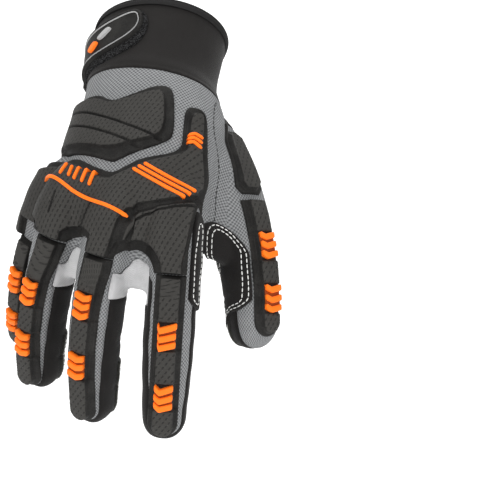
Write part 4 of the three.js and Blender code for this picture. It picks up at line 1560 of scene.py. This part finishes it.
class BackGuards(Part):
    """The two big rubber pads on the back of the hand, with their orange inlays."""

    pad: Outline = [
        (-0.43, 0.2), (-0.14, 0.23), (-0.03, 0.32), (0.04, 0.29), (0.2, 0.2), (0.27, 0.22),
        (0.31, 0.53), (0.29, 0.6), (0.06, 0.76), (0.03, 0.76), (-0.11, 0.7), (-0.43, 0.56),
    ]
    pad_face: Outline = [
        (-0.43, 0.25), (-0.12, 0.28), (-0.02, 0.36), (0.17, 0.27), (0.235, 0.26), (0.265, 0.54),
        (0.215, 0.6), (0.04, 0.68), (-0.12, 0.635), (-0.43, 0.52),
    ]
    plate: Outline = [
        (0.335, 0.33), (0.4, 0.31), (0.425, 0.36), (0.445, 0.6), (0.449, 0.83), (0.443, 1.1), (0.422, 1.26),
        (0.407, 1.357), (0.395, 1.42), (0.276, 1.429), (0.275, 1.367), (0.265, 1.32), (0.24, 1.27),
        (0.201, 1.239),
        (0.17, 1.233), (0.132, 1.25), (0.112, 1.282), (0.089, 1.314), (0.07, 1.36), (-0.03, 1.36),
        (-0.025, 1.273),
        (-0.031, 1.244), (-0.049, 1.218), (-0.106, 1.172), (-0.157, 1.168), (-0.192, 1.19), (-0.213, 1.223),
        (-0.239, 1.271), (-0.3, 1.27), (-0.36, 1.2), (-0.39, 1.18), (-0.43, 1.2), (-0.46, 1.26),
        (-0.62, 1.26), (-0.62, 0.64), (-0.19, 0.685), (-0.06, 0.785), (0.05, 0.84), (0.093, 0.812),
        (0.167, 0.749),
        (0.21, 0.723), (0.313, 0.666), (0.352, 0.607), (0.344, 0.497),
    ]
    plate_face: Outline = [
        (0.362, 0.38), (0.4, 0.36), (0.408, 0.4), (0.415, 0.58), (0.432, 0.83), (0.433, 0.95),
        (0.429, 1.04),
        (0.422, 1.14), (0.405, 1.266), (0.388, 1.351), (0.378, 1.42), (0.305, 1.42), (0.318, 1.375),
        (0.318, 1.315),
        (0.304, 1.275), (0.284, 1.236), (0.25, 1.2), (0.212, 1.184), (0.167, 1.182), (0.13, 1.205),
        (0.095, 1.25),
        (0.055, 1.341), (0.04, 1.4), (-0.01, 1.38), (0.005, 1.31), (0.008, 1.277), (0.005, 1.233),
        (-0.01, 1.205),
        (-0.04, 1.17), (-0.08, 1.135), (-0.12, 1.115), (-0.169, 1.114), (-0.197, 1.138), (-0.216, 1.159),
        (-0.235, 1.21), (-0.29, 1.25), (-0.31, 1.15), (-0.33, 1.07), (-0.38, 1.02), (-0.44, 1.05),
        (-0.475, 1.2),
        (-0.62, 1.26), (-0.62, 0.7), (-0.19, 0.74), (-0.06, 0.845), (0.05, 0.89), (0.1, 0.855),
        (0.218, 0.76),
        (0.321, 0.691), (0.363, 0.64), (0.371, 0.611),
    ]
    pad_grooves: list[Outline] = [
        [(-0.43, 0.31), (-0.245, 0.337), (-0.07, 0.44), (0.212, 0.58), (0.26, 0.6)],
        [(-0.43, 0.4), (-0.26, 0.428), (-0.05, 0.55), (0.13, 0.646), (0.18, 0.67)],
    ]
    wide_groove: Outline = [
        (0.05, 1.37), (0.083, 1.28), (0.105, 1.2), (0.124, 1.133), (0.15, 1.07), (0.2, 1.028),
        (0.258, 1.01),
        (0.334, 0.998), (0.392, 0.971), (0.45, 0.93),
    ]
    thin_grooves: list[Outline] = [
        [(-0.218, 0.943), (-0.249, 1.06)],
        [(-0.009, 1.035), (-0.056, 1.157)],
        [(0.429, 0.985), (0.335, 1.032), (0.232, 1.052), (0.175, 1.09), (0.15, 1.15), (0.13, 1.205)],
    ]
    bars: list[Outline] = [
        [(0.161, 0.822), (0.405, 0.957)],
        [(0.181, 0.8), (0.42, 0.936)],
        [(0.204, 0.78), (0.43, 0.912)],
    ]
    bar_width: float = 1.75
    knuckle_line: Outline = [(-0.32, 0.804), (-0.13, 0.945), (0.036, 1.045), (0.141, 1.1)]
    line_width: float = 1.9
    first_mark: Outline = [(-0.212, 0.85), (-0.19, 0.768)]
    mark_step: tuple[float, float] = (0.043, 0.0185)
    marks: int = 5
    mark_width: float = 1.8
    arm_rib: Outline = [(0.364, 0.545), (0.384, 0.52), (0.411, 0.529)]
    arm_steps: Outline = [(0.0, 0.0225), (0.0, 0.0265), (0.0, 0.031)]
    arm_width: float = 1.7

    def plate_field(self, outline: Points, flange: bool) -> Field:
        """Returns the field of the knuckle plate, which narrows to each strip and stops at its flex gap.

        Args:
            outline: The plate's outline in plan, in millimetres.
            flange: Whether this is the flange or else the raised face.
        """
        inside = on_back(outline)
        gap = 0.3 if flange else 1.2
        necks, stops = [], []
        for size in STRIPS[:4]:
            start = size.start * size.digit.length
            half = (size.flange if flange else size.face) * size.digit.width
            necks.append(size.bar(start - 13, start + 40, half))
            stops.append(beyond(size.digit, start - gap))

        def field(points: Points) -> Points:
            joined = np.maximum(inside(points), np.max([neck(points) for neck in necks], 0))
            return np.minimum(joined, -np.max([stop(points) for stop in stops], 0))

        return field

    def inlay(self, name: str, node: str, lines: list[Outline], width: float) -> None:
        """Makes orange bars along lines on the guard."""
        bars = Bars()
        for line in lines:
            draped = self.surface.drape_plan(HAND.plan(line), -1, 4 if len(line) == 4 else 2)
            bars.run(draped, width, LAYER.flange, LAYER.guard + LAYER.inlay)
        self.mould(bars, name, node)

    def build(self) -> None:
        """Makes both pads and every inlay."""
        pad = on_back(rounded(HAND.plan(self.pad)))
        pad_face = on_back(rounded(HAND.plan(self.pad_face)))
        lines = [HAND.plan(line) for line in self.pad_grooves]
        height = stepped(pad_face, groove(lines, 1.0, 1.7))
        relief = Relief("back_guard", pad, height, PIECE_FLOOR)
        self.place(relief, Finish.RUBBER, "rubber", "back_pad", layout=plan_map)
        plate = self.plate_field(rounded(HAND.plan(self.plate)), True)
        face = self.plate_field(rounded(HAND.plan(self.plate_face)), False)
        wide = groove([HAND.plan(self.wide_groove)], 2.6, 2.3)
        thin = groove([HAND.plan(line) for line in self.thin_grooves], 0.9, 1.3)
        dips = lambda points: np.maximum(wide(points), thin(points))
        relief = Relief("knuckle_plate", plate, stepped(face, dips), PIECE_FLOOR)
        self.place(relief, Finish.RUBBER, "rubber", "knuckle_guard", layout=plan_map)
        for number, line in enumerate(self.bars, 1):
            node = f"knuckle_bar_{number}"
            self.inlay(f"inlay_{node}", node, [line], self.bar_width)
        self.inlay("inlay_knuckle_line", "knuckle_line", [self.knuckle_line], self.line_width)
        for number in range(self.marks):
            across, reach = (number * step for step in self.mark_step)
            line = [(x + across, y + reach) for x, y in self.first_mark]
            node = f"knuckle_mark_{number + 1}"
            self.inlay(f"inlay_{node}", node, [line], self.mark_width)
        lines = []
        for number in range(3):
            steps = [(x * number, y * number) for x, y in self.arm_steps]
            lines.append([(x + a, y + b) for (x, y), (a, b) in zip(self.arm_rib, steps)])
        self.inlay("inlay_arm_ribs", "arm_ribs", lines, self.arm_width)


class DigitGuards(Part):
    """The rubber strips on the fingers and thumb, their orange ribs, and the pad over the thumb's joint."""

    end: float = 0.95
    pitch: float = 4.4
    rib_width: float = 3.2
    rib_half: float = 0.145
    pad_start: float = 0.16
    pad_end: float = 0.435
    pad_width: float = 0.33
    pad_face: float = 0.23
    pad_inset: float = 2.0

    def strip(self, size: StripSize) -> None:
        """Makes the strip of a digit, with notches where its ribs sit."""
        digit = size.digit
        start, end = size.start * digit.length, self.end * digit.length
        flange = size.bar(start, end, size.flange * digit.width)
        face = size.bar(start + 1.2, end - 2.4, size.face * digit.width)

        def dips(points: Points) -> Points:
            along = digit.local(points)[1]
            worst = np.zeros(len(points))
            for share in size.ribs:
                off = np.abs(along - share * digit.length) - 1.5 * self.pitch
                worst = np.maximum(worst, 1.1 * (1 - smooth_step(off, -0.2, 0.9)))
            return worst

        relief = Relief(f"{digit.name}_strip", flange, stepped(face, dips), PIECE_FLOOR)
        self.place(relief, Finish.RUBBER, "rubber", f"{digit.name}_guard")
        for number, place in enumerate(("upper", "lower")):
            self.ribs(size, number, place)

    def ribs(self, size: StripSize, number: int, place: str) -> None:
        """Makes a group of three ribs on a thin base; each rib is bent towards the tip at its apex."""
        digit = size.digit
        half = self.rib_half * digit.width
        middle = size.ribs[number] * digit.length
        apex = size.apex[number]
        shift = float(size.middle(np.array(middle)))
        across = np.linspace(-1, 1, 17)
        arm = np.where(across < apex, (apex - across) / (1 + apex), (across - apex) / (1 - apex))
        shape = np.stack([across * half + shift, middle + size.rise * (0.5 - arm)], 1)
        bars = Bars()
        # The first row is the thin base between the ribs; its lift mark of 0 gets the orange finish's painted
        # shade.
        for step, width, low, high, mark in (
            (0, 2 * self.pitch + self.rib_width - 0.5, LAYER.flange, LAYER.guard + 0.1, 0.0),
            (-1, self.rib_width, LAYER.flange, LAYER.guard + LAYER.rib - 0.3, 1.2),
            (0, self.rib_width, LAYER.flange, LAYER.guard + LAYER.rib - 0.3, 1.2),
            (1, self.rib_width, LAYER.flange, LAYER.guard + LAYER.rib - 0.3, 1.2),
        ):
            line = shape + np.array([0, step * self.pitch])
            bars.run(self.surface.drape_digit(digit, line), width, low, high, mark, digit.frame(middle)[3])
        self.mould(bars, f"{digit.name}_rib_group_{place}", f"{digit.name}_ribs_{place}")

    def thumb_pad(self) -> None:
        """Makes the pad over the thumb's joint."""
        start, end = self.pad_start * THUMB.length, self.pad_end * THUMB.length

        def field(points: Points, inset: float, half: float) -> Points:
            across, along, above = THUMB.local(points)
            inside = np.minimum(half - np.abs(across), np.minimum(along - start, end - along) - inset)
            off = np.abs(across) + np.abs(along - (start + end) / 2)
            corner = half + (end - start) / 2 - inset - off - 3.5
            inside = np.minimum(inside, corner * 0.7)
            return np.minimum(inside, np.where(THUMB.near(points) < 1.9, above - 0.1 * THUMB.depth, -9.0))

        flange = lambda points: field(points, 0, self.pad_width * THUMB.width)
        face = lambda points: field(points, self.pad_inset, self.pad_face * THUMB.width)
        relief = Relief("thumb_joint_pad", flange, stepped(face), PIECE_FLOOR)
        self.place(relief, Finish.RUBBER, "rubber", "thumb_pad")

    def build(self) -> None:
        """Makes every strip, its ribs and the thumb's pad."""
        for size in STRIPS:
            self.strip(size)
        self.thumb_pad()


class PalmPads(Part):
    """The puffed leather pads on the palm, and the patches on the fingertips."""

    knuckle: Outline = [
        (0.38, 1.26), (0.28, 1.2), (0.15, 1.27), (0.06, 1.2), (-0.03, 1.21), (-0.1, 1.12), (-0.3, 1.04),
        (-0.36, 0.96), (-0.35, 0.78), (-0.29, 0.74), (-0.2, 0.8), (-0.07, 0.89), (0.14, 0.98), (0.3, 0.94),
        (0.385, 0.98),
    ]
    thumb: Outline = [
        (0.33, 0.8), (0.25, 0.72), (0.14, 0.42), (0.135, 0.22), (0.2, 0.13), (0.31, 0.13), (0.4, 0.24),
        (0.48, 0.58),
    ]
    heel: Outline = [
        (0.2, 0.81), (0.03, 0.86), (-0.1, 0.78), (-0.29, 0.65), (-0.285, 0.47), (-0.2, 0.16), (-0.13, 0.13),
        (0.02, 0.13), (0.085, 0.37),
    ]
    tip_start: float = 0.68
    thumb_tip_start: float = 0.78
    tip_width: float = 0.4
    tip_rise: float = 0.2
    stitch_rows: tuple[float, float] = (1.5, 3.3)

    def puffed(self, points: Points, inside: Points) -> Points:
        """Returns the height of a puffed pad: a flat stitched border round a soft cushion."""
        border = 0.9 * round_rise(inside, 0.8)
        dip = 0.25 * sum(np.exp(-(((inside - row) / 0.45) ** 2)) for row in self.stitch_rows)
        cushion = (LAYER.pad - 0.9) * smooth_step(inside, 3.4, 9.5)
        return border - np.minimum(dip, border * 0.6) + cushion

    def flat(self, points: Points, inside: Points) -> Points:
        """Returns the height of a flat patch with a rounded, stitched edge."""
        dip = 0.2 * sum(np.exp(-(((inside - row) / 0.45) ** 2)) for row in self.stitch_rows)
        rise = LAYER.patch * round_rise(inside, 0.9)
        return rise - np.minimum(dip, rise * 0.5)

    def tip_field(self, digit: Digit) -> Field:
        """Returns the field of the patch that wraps a digit's tip on its palm side."""
        share = self.thumb_tip_start if digit is THUMB else self.tip_start
        start = share * digit.length

        def field(points: Points) -> Points:
            across, along, above = digit.local(points)
            inside = np.minimum(along - start, -above - self.tip_rise * digit.depth)
            inside = np.minimum(inside, self.tip_width * 1.32 * digit.width - np.abs(across))
            return np.where(digit.near(points) < 1.7, inside, -9.0)

        return field

    def build(self) -> None:
        """Makes the three pads and the five tip patches, with their stitches."""
        sewing = Sewing()
        pads = (("knuckle", self.knuckle), ("thumb", self.thumb), ("heel", self.heel))
        for name, outline in pads:
            field = on_palm(rounded(HAND.plan(outline)))
            relief = Relief(f"{name}_cushion", field, self.puffed, PIECE_FLOOR)
            piece = self.place(relief, Finish.LEATHER, "leather", f"palm_pad_{name}", layout=plan_map)
            for depth in self.stitch_rows:
                sewing.follow(self.surface, relief, depth)
        for digit in DIGITS:
            relief = Relief(f"{digit.name}_tip", self.tip_field(digit), self.flat, PIECE_FLOOR)
            self.place(relief, Finish.LEATHER, "leather", f"tip_patch_{digit.name}")
            for depth in self.stitch_rows:
                sewing.follow(self.surface, relief, depth)
        self.stitch(sewing, "palm_stitches", Finish.THREAD, "leather")


class Trim(Part):
    """The patch in the thumb's crotch, the bound vent on the palm, and the dark seams on the back."""

    crotch: Outline = [
        (0.41, 1.478), (0.418, 1.382), (0.428, 1.289), (0.434, 1.19), (0.44, 1.121), (0.44, 0.996),
        (0.468, 0.93),
        (0.541, 0.932), (0.615, 1.018), (0.659, 1.144), (0.669, 1.27), (0.637, 1.332), (0.586, 1.373),
        (0.531, 1.37), (0.5, 1.43), (0.48, 1.49),
    ]
    crotch_rows: tuple[float, float] = (1.3, 3.0)
    vent_x: float = -0.3
    vent_reach: float = 0.3
    vent_shoulder: float = 0.24
    vent_top: float = 0.11
    vent_half: float = 0.05
    vent_width: float = 3.0
    side_seam: Outline = [(0.424, 0.171), (0.468, 0.556), (0.475, 0.91), (0.473, 0.973)]

    def crotch_field(self, points: Points) -> Points:
        """Tells how far places lie inside the patch, which stays clear of the strips beside it."""
        inside = inside_distance(points[:, [0, 2]], rounded(HAND.plan(self.crotch)))
        across, _, above = INDEX.local(points)
        inside = np.where(above > 0, np.minimum(inside, across - 0.33 * INDEX.width), inside)
        across, _, above = THUMB.local(points)
        on_back_of_thumb = (above > 0) & (THUMB.near(points) < 1.4)
        beside = np.minimum(inside, np.abs(across) - 0.29 * THUMB.width - 0.5)
        return np.where(on_back_of_thumb, beside, inside)

    def build(self) -> None:
        """Makes the patch, the vent and the seams."""

        def rolled(points: Points, inside: Points) -> Points:
            roll = 0.55 * np.exp(-(((inside - 0.75) / 0.6) ** 2))
            dips = 0.2 * sum(np.exp(-(((inside - row) / 0.45) ** 2)) for row in self.crotch_rows)
            return np.maximum(LAYER.patch * round_rise(inside, 0.7) + roll - dips, 0.3)

        patch = Relief("crotch_cloth", self.crotch_field, rolled, PIECE_FLOOR)
        self.place(patch, Finish.SUEDE, "suede", "crotch_patch")
        white = Sewing()
        for depth in self.crotch_rows:
            white.follow(self.surface, patch, depth)
        self.stitch(white, "crotch_stitches", Finish.THREAD, "suede")
        dark = Sewing()
        dark.project(self.surface, HAND.plan(self.side_seam), -1)
        self.stitch(dark, "dark_stitches", Finish.DARK_THREAD, "suede")
        left, right = self.vent_x - self.vent_half, self.vent_x + self.vent_half
        path = HAND.plan([
            (left, self.vent_top), (left, self.vent_shoulder), (self.vent_x, self.vent_reach),
            (right, self.vent_shoulder), (right, self.vent_top),
        ])

        def bound(points: Points) -> Points:
            near = line_distance(points[:, [0, 2]], path)
            return np.minimum(self.vent_width / 2 - near, points[:, 1])

        def bead(points: Points, inside: Points) -> Points:
            return 0.3 + LAYER.patch * round_rise(inside, self.vent_width / 2)

        self.place(Relief("vent_tape", bound, bead, PIECE_FLOOR, 2), Finish.BINDING, "binding", "vent_binding")


class Cuff(Part):
    """The cuff, its bound edge, and the strap that is fastened round it."""

    strap_on_back: Outline = [
        (-0.6, -0.32), (-0.3, -0.3), (-0.15, -0.22), (-0.03, -0.1), (0.03, -0.14), (0.06, -0.34),
        (0.055, -0.55), (0.02, -0.74), (-0.06, -0.88), (-0.19, -1.0), (-0.6, -0.96),
    ]
    strap_edge: Outline = [
        (-0.6, -0.34), (-0.3, -0.32), (-0.15, -0.24), (-0.03, -0.12), (0.015, -0.16), (0.04, -0.34),
        (0.03, -0.5), (-0.01, -0.65), (-0.08, -0.78), (-0.19, -0.88), (-0.6, -0.93),
    ]
    strap_on_palm: Outline = [
        (-0.6, -0.34), (0.06, -0.34), (0.09, -0.46), (0.09, -0.9), (0.06, -1.0), (-0.2, -1.0),
        (-0.6, -0.93),
    ]
    tab: Outline = [
        (-0.34, -0.4), (0.05, -0.4), (0.072, -0.48), (0.072, -0.9), (0.05, -0.97), (-0.34, -0.98),
    ]
    tab_mark: Outline = [(0.045, -0.6), (0.055, -0.68), (0, -0.78), (-0.01, -0.7)]
    badge_bar: Outline = [(-0.145, -0.4), (-0.115, -0.44), (-0.17, -0.59), (-0.2, -0.55)]
    badge_dot: Outline = [(-0.215, -0.56), (-0.18, -0.62), (-0.215, -0.76), (-0.25, -0.68)]
    groove_from: float = -0.05
    groove_step: float = -0.055
    groove_count: int = 5
    groove_point: float = 0.03
    groove_top: float = -0.46
    groove_bottom: float = -0.92
    levels: tuple[float, float, float, float] = (0.3, 2.2, 4.1, 6.2)
    piping_inset: float = 2.2
    piping: float = 0.32
    lap: float = 0.6
    sides: int = 220

    def __init__(self, surface: Surface, finishes: dict[Finish, bpy.types.Material], cloth: Cloth) -> None:
        """Also keeps the cloth, whose seam is the cuff's lower edge."""
        super().__init__(surface, finishes)
        self.cloth = cloth

    def mouth(self, points: Points) -> Points:
        """Tells how far places lie below the tilted plane of the mouth, in millimetres."""
        tilt = math.radians(HAND.mouth_tilt)
        return -points[:, 2] * math.cos(tilt) - points[:, 1] * math.sin(tilt)

    def around(self, back: Outline, palm: Outline | None) -> Field:
        """Returns the field of an outline on the cuff, with a part on each side.

        Args:
            back: The part on the back.
            palm: The part on the palm.
        """
        sides = [(rounded(HAND.cuff_plan(o), 2), side) for o, side in ((back, -1), (palm, 1)) if o]

        def field(points: Points) -> Points:
            best = np.full(len(points), -99.0)
            for outline, side in sides:
                both = len(sides) == 2
                inside = inside_distance(points[:, [0, 2]], outline)
                facing = points[:, 1] * side
                best = np.maximum(best, np.minimum(inside, facing + (3 if both else 0)))
            return best

        return field

    def sleeve(self) -> None:
        """Makes the cuff's own wall, from the mouth down to its lap over the hand."""

        def field(points: Points) -> Points:
            return np.minimum(self.mouth(points) - 0.3, self.lap - self.cloth.seam_height(points))

        mesh = self.surface.cropped(field, 2.6, 0)
        trim(mesh, field)
        largest_part(mesh)
        bmesh.ops.delete(mesh, geom=[v for v in mesh.verts if not v.link_faces], context="VERTS")
        places = vertex_array(mesh)
        lap = self.lap - self.cloth.seam_height(places)
        lift = 0.05 + 0.3 * round_rise(lap, 1.0) - 0.2 * np.exp(-(((lap - 2.4) / 0.5) ** 2))
        lift *= 1 - smooth_step(lap, 4, 10)
        up = mesh.verts.layers.float_vector["up"]
        for vert, rise in zip(mesh.verts, lift):
            vert.co += vert[up] * float(rise)
        made = bmesh.ops.extrude_face_region(mesh, geom=mesh.faces[:], use_keep_orig=True)["geom"]
        for item in made:
            if isinstance(item, bmesh.types.BMVert):
                item.co -= item[up].normalized() * LAYER.cuff
        bmesh.ops.recalc_face_normals(mesh, faces=mesh.faces[:])
        mesh.verts.layers.float_vector.remove(mesh.verts.layers.float_vector["up"])
        piece = publish(mesh, "cuff_sleeve", self.finishes[Finish.NEOPRENE], weave_map)
        settle(piece, "neoprene", "cuff")

    def rim(self) -> tuple[Points, Points]:
        """Finds the mouth's line on the surface.

        Returns:
            Its places at even steps, and the directions out of it.
        """
        line = max(contours(self.surface, self.mouth, 0.3), key=len)
        turn = np.unwrap(np.arctan2(line[:, 1], line[:, 0] - 1))
        order = np.argsort(turn)
        wanted = turn[order][0] + np.arange(self.sides) / self.sides * 2 * math.pi
        period = 2 * math.pi
        read = lambda k: np.interp(wanted, turn[order], line[order, k], period=period)
        places = np.stack([read(k) for k in range(3)], 1)
        normals = np.stack([read(k) for k in range(3, 6)], 1)
        return places, normals / np.linalg.norm(normals, axis=1)[:, None]

    def binding(self) -> None:
        """Makes the tape that is folded over the mouth's edge."""
        places, out = self.rim()
        tilt = math.radians(HAND.mouth_tilt)
        up = np.array([0, math.sin(tilt), math.cos(tilt)])
        out = out - (out @ up)[:, None] * up
        out /= np.linalg.norm(out, axis=1)[:, None]
        wall, deep, thick = LAYER.cuff, LAYER.binding_height, LAYER.binding
        outside = [(0.1, -deep), (0.45, -deep + 0.1), (0.6, -deep + 0.5), (0.4, -deep + 1.0)]
        outside += [(0.65, -deep + 1.4), (thick, -deep + 2.2), (thick + 0.05, -1.2), (thick, 0.0)]
        outside += [(0.5, 0.55), (0.05, 0.85)]
        inside = [(-wall / 2, 1.0), (-wall - 0.05, 0.85), (-wall - 0.5, 0.55), (-wall - thick, 0.0)]
        inside += [(-wall - thick, -deep + 1), (-wall - 0.4, -deep), (-wall - 0.05, -deep)]
        inside += [(-wall - 0.05, -0.1)]
        profile = np.array([*outside, *inside, (-0.05, -0.1)])
        mesh = bmesh.new()
        rings = [places + out * across + up * along for across, along in profile]
        bridge_rings(mesh, rings, True)
        piece = publish(mesh, "cuff_tape", self.finishes[Finish.BINDING], weave_map)
        settle(piece, "binding", "cuff_binding")

    def bordered(self, low: float, thick: float, border: float, dips: Field | None = None) -> Height:
        """Returns the height of a moulded strap with a raised border.

        Args:
            low: The height of its underside.
            thick: How thick it is.
            border: How wide the border is.
            dips: How much is taken off the top, in millimetres.
        """

        def height(points: Points, inside: Points) -> Points:
            edge = 0.35 + 0.65 * round_rise(inside, 0.8)
            floor = smooth_step(inside, border, border + 0.5) * 0.55
            made = low + thick * edge - floor
            return made - (dips(points) if dips else 0)

        return height

    def strap(self) -> None:
        """Makes the hook layer, the moulded strap with its pale line, and what is on it."""
        hook_low, strap_low, tab_low, mark_low = self.levels
        base = self.around(self.strap_on_back, self.strap_on_palm)
        fuzz = lambda points, inside: hook_low + LAYER.strap * (0.5 + 0.5 * round_rise(inside, 0.8))
        relief = Relief("strap_hooks", base, fuzz, hook_low, 1)
        self.place(relief, Finish.HOOK, "hook", "strap_base")
        edge = self.around(self.strap_edge, self.strap_on_palm)
        face = self.bordered(strap_low, LAYER.strap + 0.25, 1.5)
        marks = lambda points, inside: np.where(inside > 1.6, LAYER.guard - 1, 0)
        relief = Relief("strap_band", edge, face, strap_low, 1, marks)
        self.place(relief, Finish.RUBBER, "rubber", "strap")
        line = lambda points: self.piping - np.abs(edge(points) - self.piping_inset)
        bead = lambda points, inside: strap_low + LAYER.strap - 0.4 + 0.7 * round_rise(inside, self.piping)
        self.place(Relief("strap_piping", line, bead, strap_low + 0.8, 2), Finish.PALE, "pale")
        places = []
        middle = (self.groove_top + self.groove_bottom) / 2
        for number in range(self.groove_count):
            x = self.groove_from + number * self.groove_step
            side = x - self.groove_point
            path = [(side, self.groove_top), (x, middle), (side, self.groove_bottom)]
            places.append(HAND.cuff_plan(path))
        cut = groove(places, 1.3, 0.9)
        field = self.one_side(self.tab, 1)
        relief = Relief("strap_pull", field, self.bordered(tab_low, LAYER.tab, 1.3, cut), tab_low, 1, marks)
        self.place(relief, Finish.RUBBER, "rubber", "strap_tab")
        flat = lambda low: lambda points, inside: low + LAYER.badge * (0.4 + 0.6 * round_rise(inside, 0.5))
        for name, outline, side, low, finish, slot, node in (
            ("pull_mark", self.tab_mark, 1, mark_low, Finish.ORANGE, "orange", "strap_tab_mark"),
            ("badge_bar", self.badge_bar, -1, tab_low, Finish.PALE, "pale", "strap_badge_bar"),
            ("badge_dot", self.badge_dot, -1, tab_low, Finish.ORANGE, "orange", "strap_badge_dot"),
        ):
            relief = Relief(name, self.one_side(outline, side), flat(low), low - 0.5, 2, None, 8)
            self.place(relief, finish, slot, node)

    def one_side(self, outline: Outline, side: int) -> Field:
        """Returns the field of an outline on the back, with side -1, or on the palm, with side 1."""
        drawn = rounded(HAND.cuff_plan(outline), 2)
        return lambda points: np.minimum(inside_distance(points[:, [0, 2]], drawn), points[:, 1] * side)

    def build(self) -> None:
        """Makes the cuff and its strap."""
        self.sleeve()
        self.binding()
        self.strap()


class Studio:
    """The plain floor and backdrop, the soft lights and the camera."""

    place: tuple[float, float, float] = (0.0499, -0.7672, -0.1151)
    lens: float = 99.8
    sensor: float = 36.0
    floor: float = -0.62

    def __init__(self, paper: bpy.types.Material) -> None:
        """Keeps the paper of the floor and backdrop."""
        self.paper = paper

    def camera(self) -> None:
        """Makes the camera at the photograph's angle."""
        data = bpy.data.cameras.new("camera")
        data.lens = self.lens
        data.sensor_width = self.sensor
        data.clip_end = 50
        camera = bpy.data.objects.new("camera", data)
        camera.location = self.place
        camera.rotation_euler = (math.radians(90), 0, 0)
        bpy.context.scene.collection.objects.link(camera)
        bpy.context.scene.camera = camera

    def backdrop(self) -> None:
        """Makes a floor that runs up into a backdrop in one curve."""
        mesh = bmesh.new()
        turn = np.linspace(0, math.pi / 2, 12)
        profile = [(-3.5, self.floor), *zip(1.6 + np.sin(turn), self.floor + 1 - np.cos(turn)), (2.6, 4.5)]
        bmesh.ops.create_grid(mesh, x_segments=1, y_segments=len(profile) - 1, size=1)
        mesh.verts.ensure_lookup_table()
        order = sorted(mesh.verts, key=lambda v: (round(v.co.y, 4), v.co.x))
        for index, vert in enumerate(order):
            y, z = profile[index // 2]
            vert.co = (5 if index % 2 else -5, y, z)
        data = bpy.data.meshes.new("backdrop")
        mesh.to_mesh(data)
        mesh.free()
        for polygon in data.polygons:
            polygon.use_smooth = True
        data.materials.append(self.paper)
        sheet = bpy.data.objects.new("backdrop", data)
        bpy.context.scene.collection.objects.link(sheet)

    def light(self, name: str, place: tuple, size: float, power: float) -> None:
        """Adds a soft square light that faces the glove."""
        data = bpy.data.lights.new(name, "AREA")
        data.size = size
        data.energy = power
        lamp = bpy.data.objects.new(name, data)
        lamp.location = place
        lamp.rotation_euler = (Vector((0, -0.03, -0.1)) - Vector(place)).to_track_quat("-Z", "Y").to_euler()
        bpy.context.scene.collection.objects.link(lamp)

    def build(self) -> None:
        """Sets up the scene."""
        self.camera()
        self.backdrop()
        self.light("key", (-0.9, -1.3, 0.9), 1.1, 20)
        self.light("fill", (1.2, -1.1, 0.1), 1.2, 9)
        self.light("top", (0.1, 0.2, 1.5), 1.3, 16)
        world = bpy.data.worlds.new("studio")
        world.use_nodes = True
        ground = world.node_tree.nodes["Background"].inputs
        ground["Color"].default_value = (1, 1, 1, 1)
        ground["Strength"].default_value = 0.5
        bpy.context.scene.world = world
        bpy.context.scene.view_settings.view_transform = "Standard"


class Glove:
    """The whole glove, made of its sub-assemblies."""

    def __init__(self, quick: bool) -> None:
        """Makes the finishes and the filled form.

        Args:
            quick: Whether a rough form is enough.
        """
        self.finishes = make_finishes()
        self.surface = FilledForm(quick).build()

    def build(self) -> None:
        """Makes every piece of the glove."""
        cloth = Cloth(self.surface, self.finishes)
        cloth.build()
        Cuff(self.surface, self.finishes, cloth).build()
        for kind in (BackGuards, DigitGuards, PalmPads, Trim):
            kind(self.surface, self.finishes).build()


def main() -> None:
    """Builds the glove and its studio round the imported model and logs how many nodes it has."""
    logging.basicConfig(level=logging.INFO, format="%(message)s")
    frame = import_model()
    LOG.info("packed nodes: %d", len(frame["nodes"]))
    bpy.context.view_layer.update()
    glove = Glove(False)
    glove.build()
    Studio(glove.finishes[Finish.STUDIO]).build()


if __name__ == "__main__":
    main()
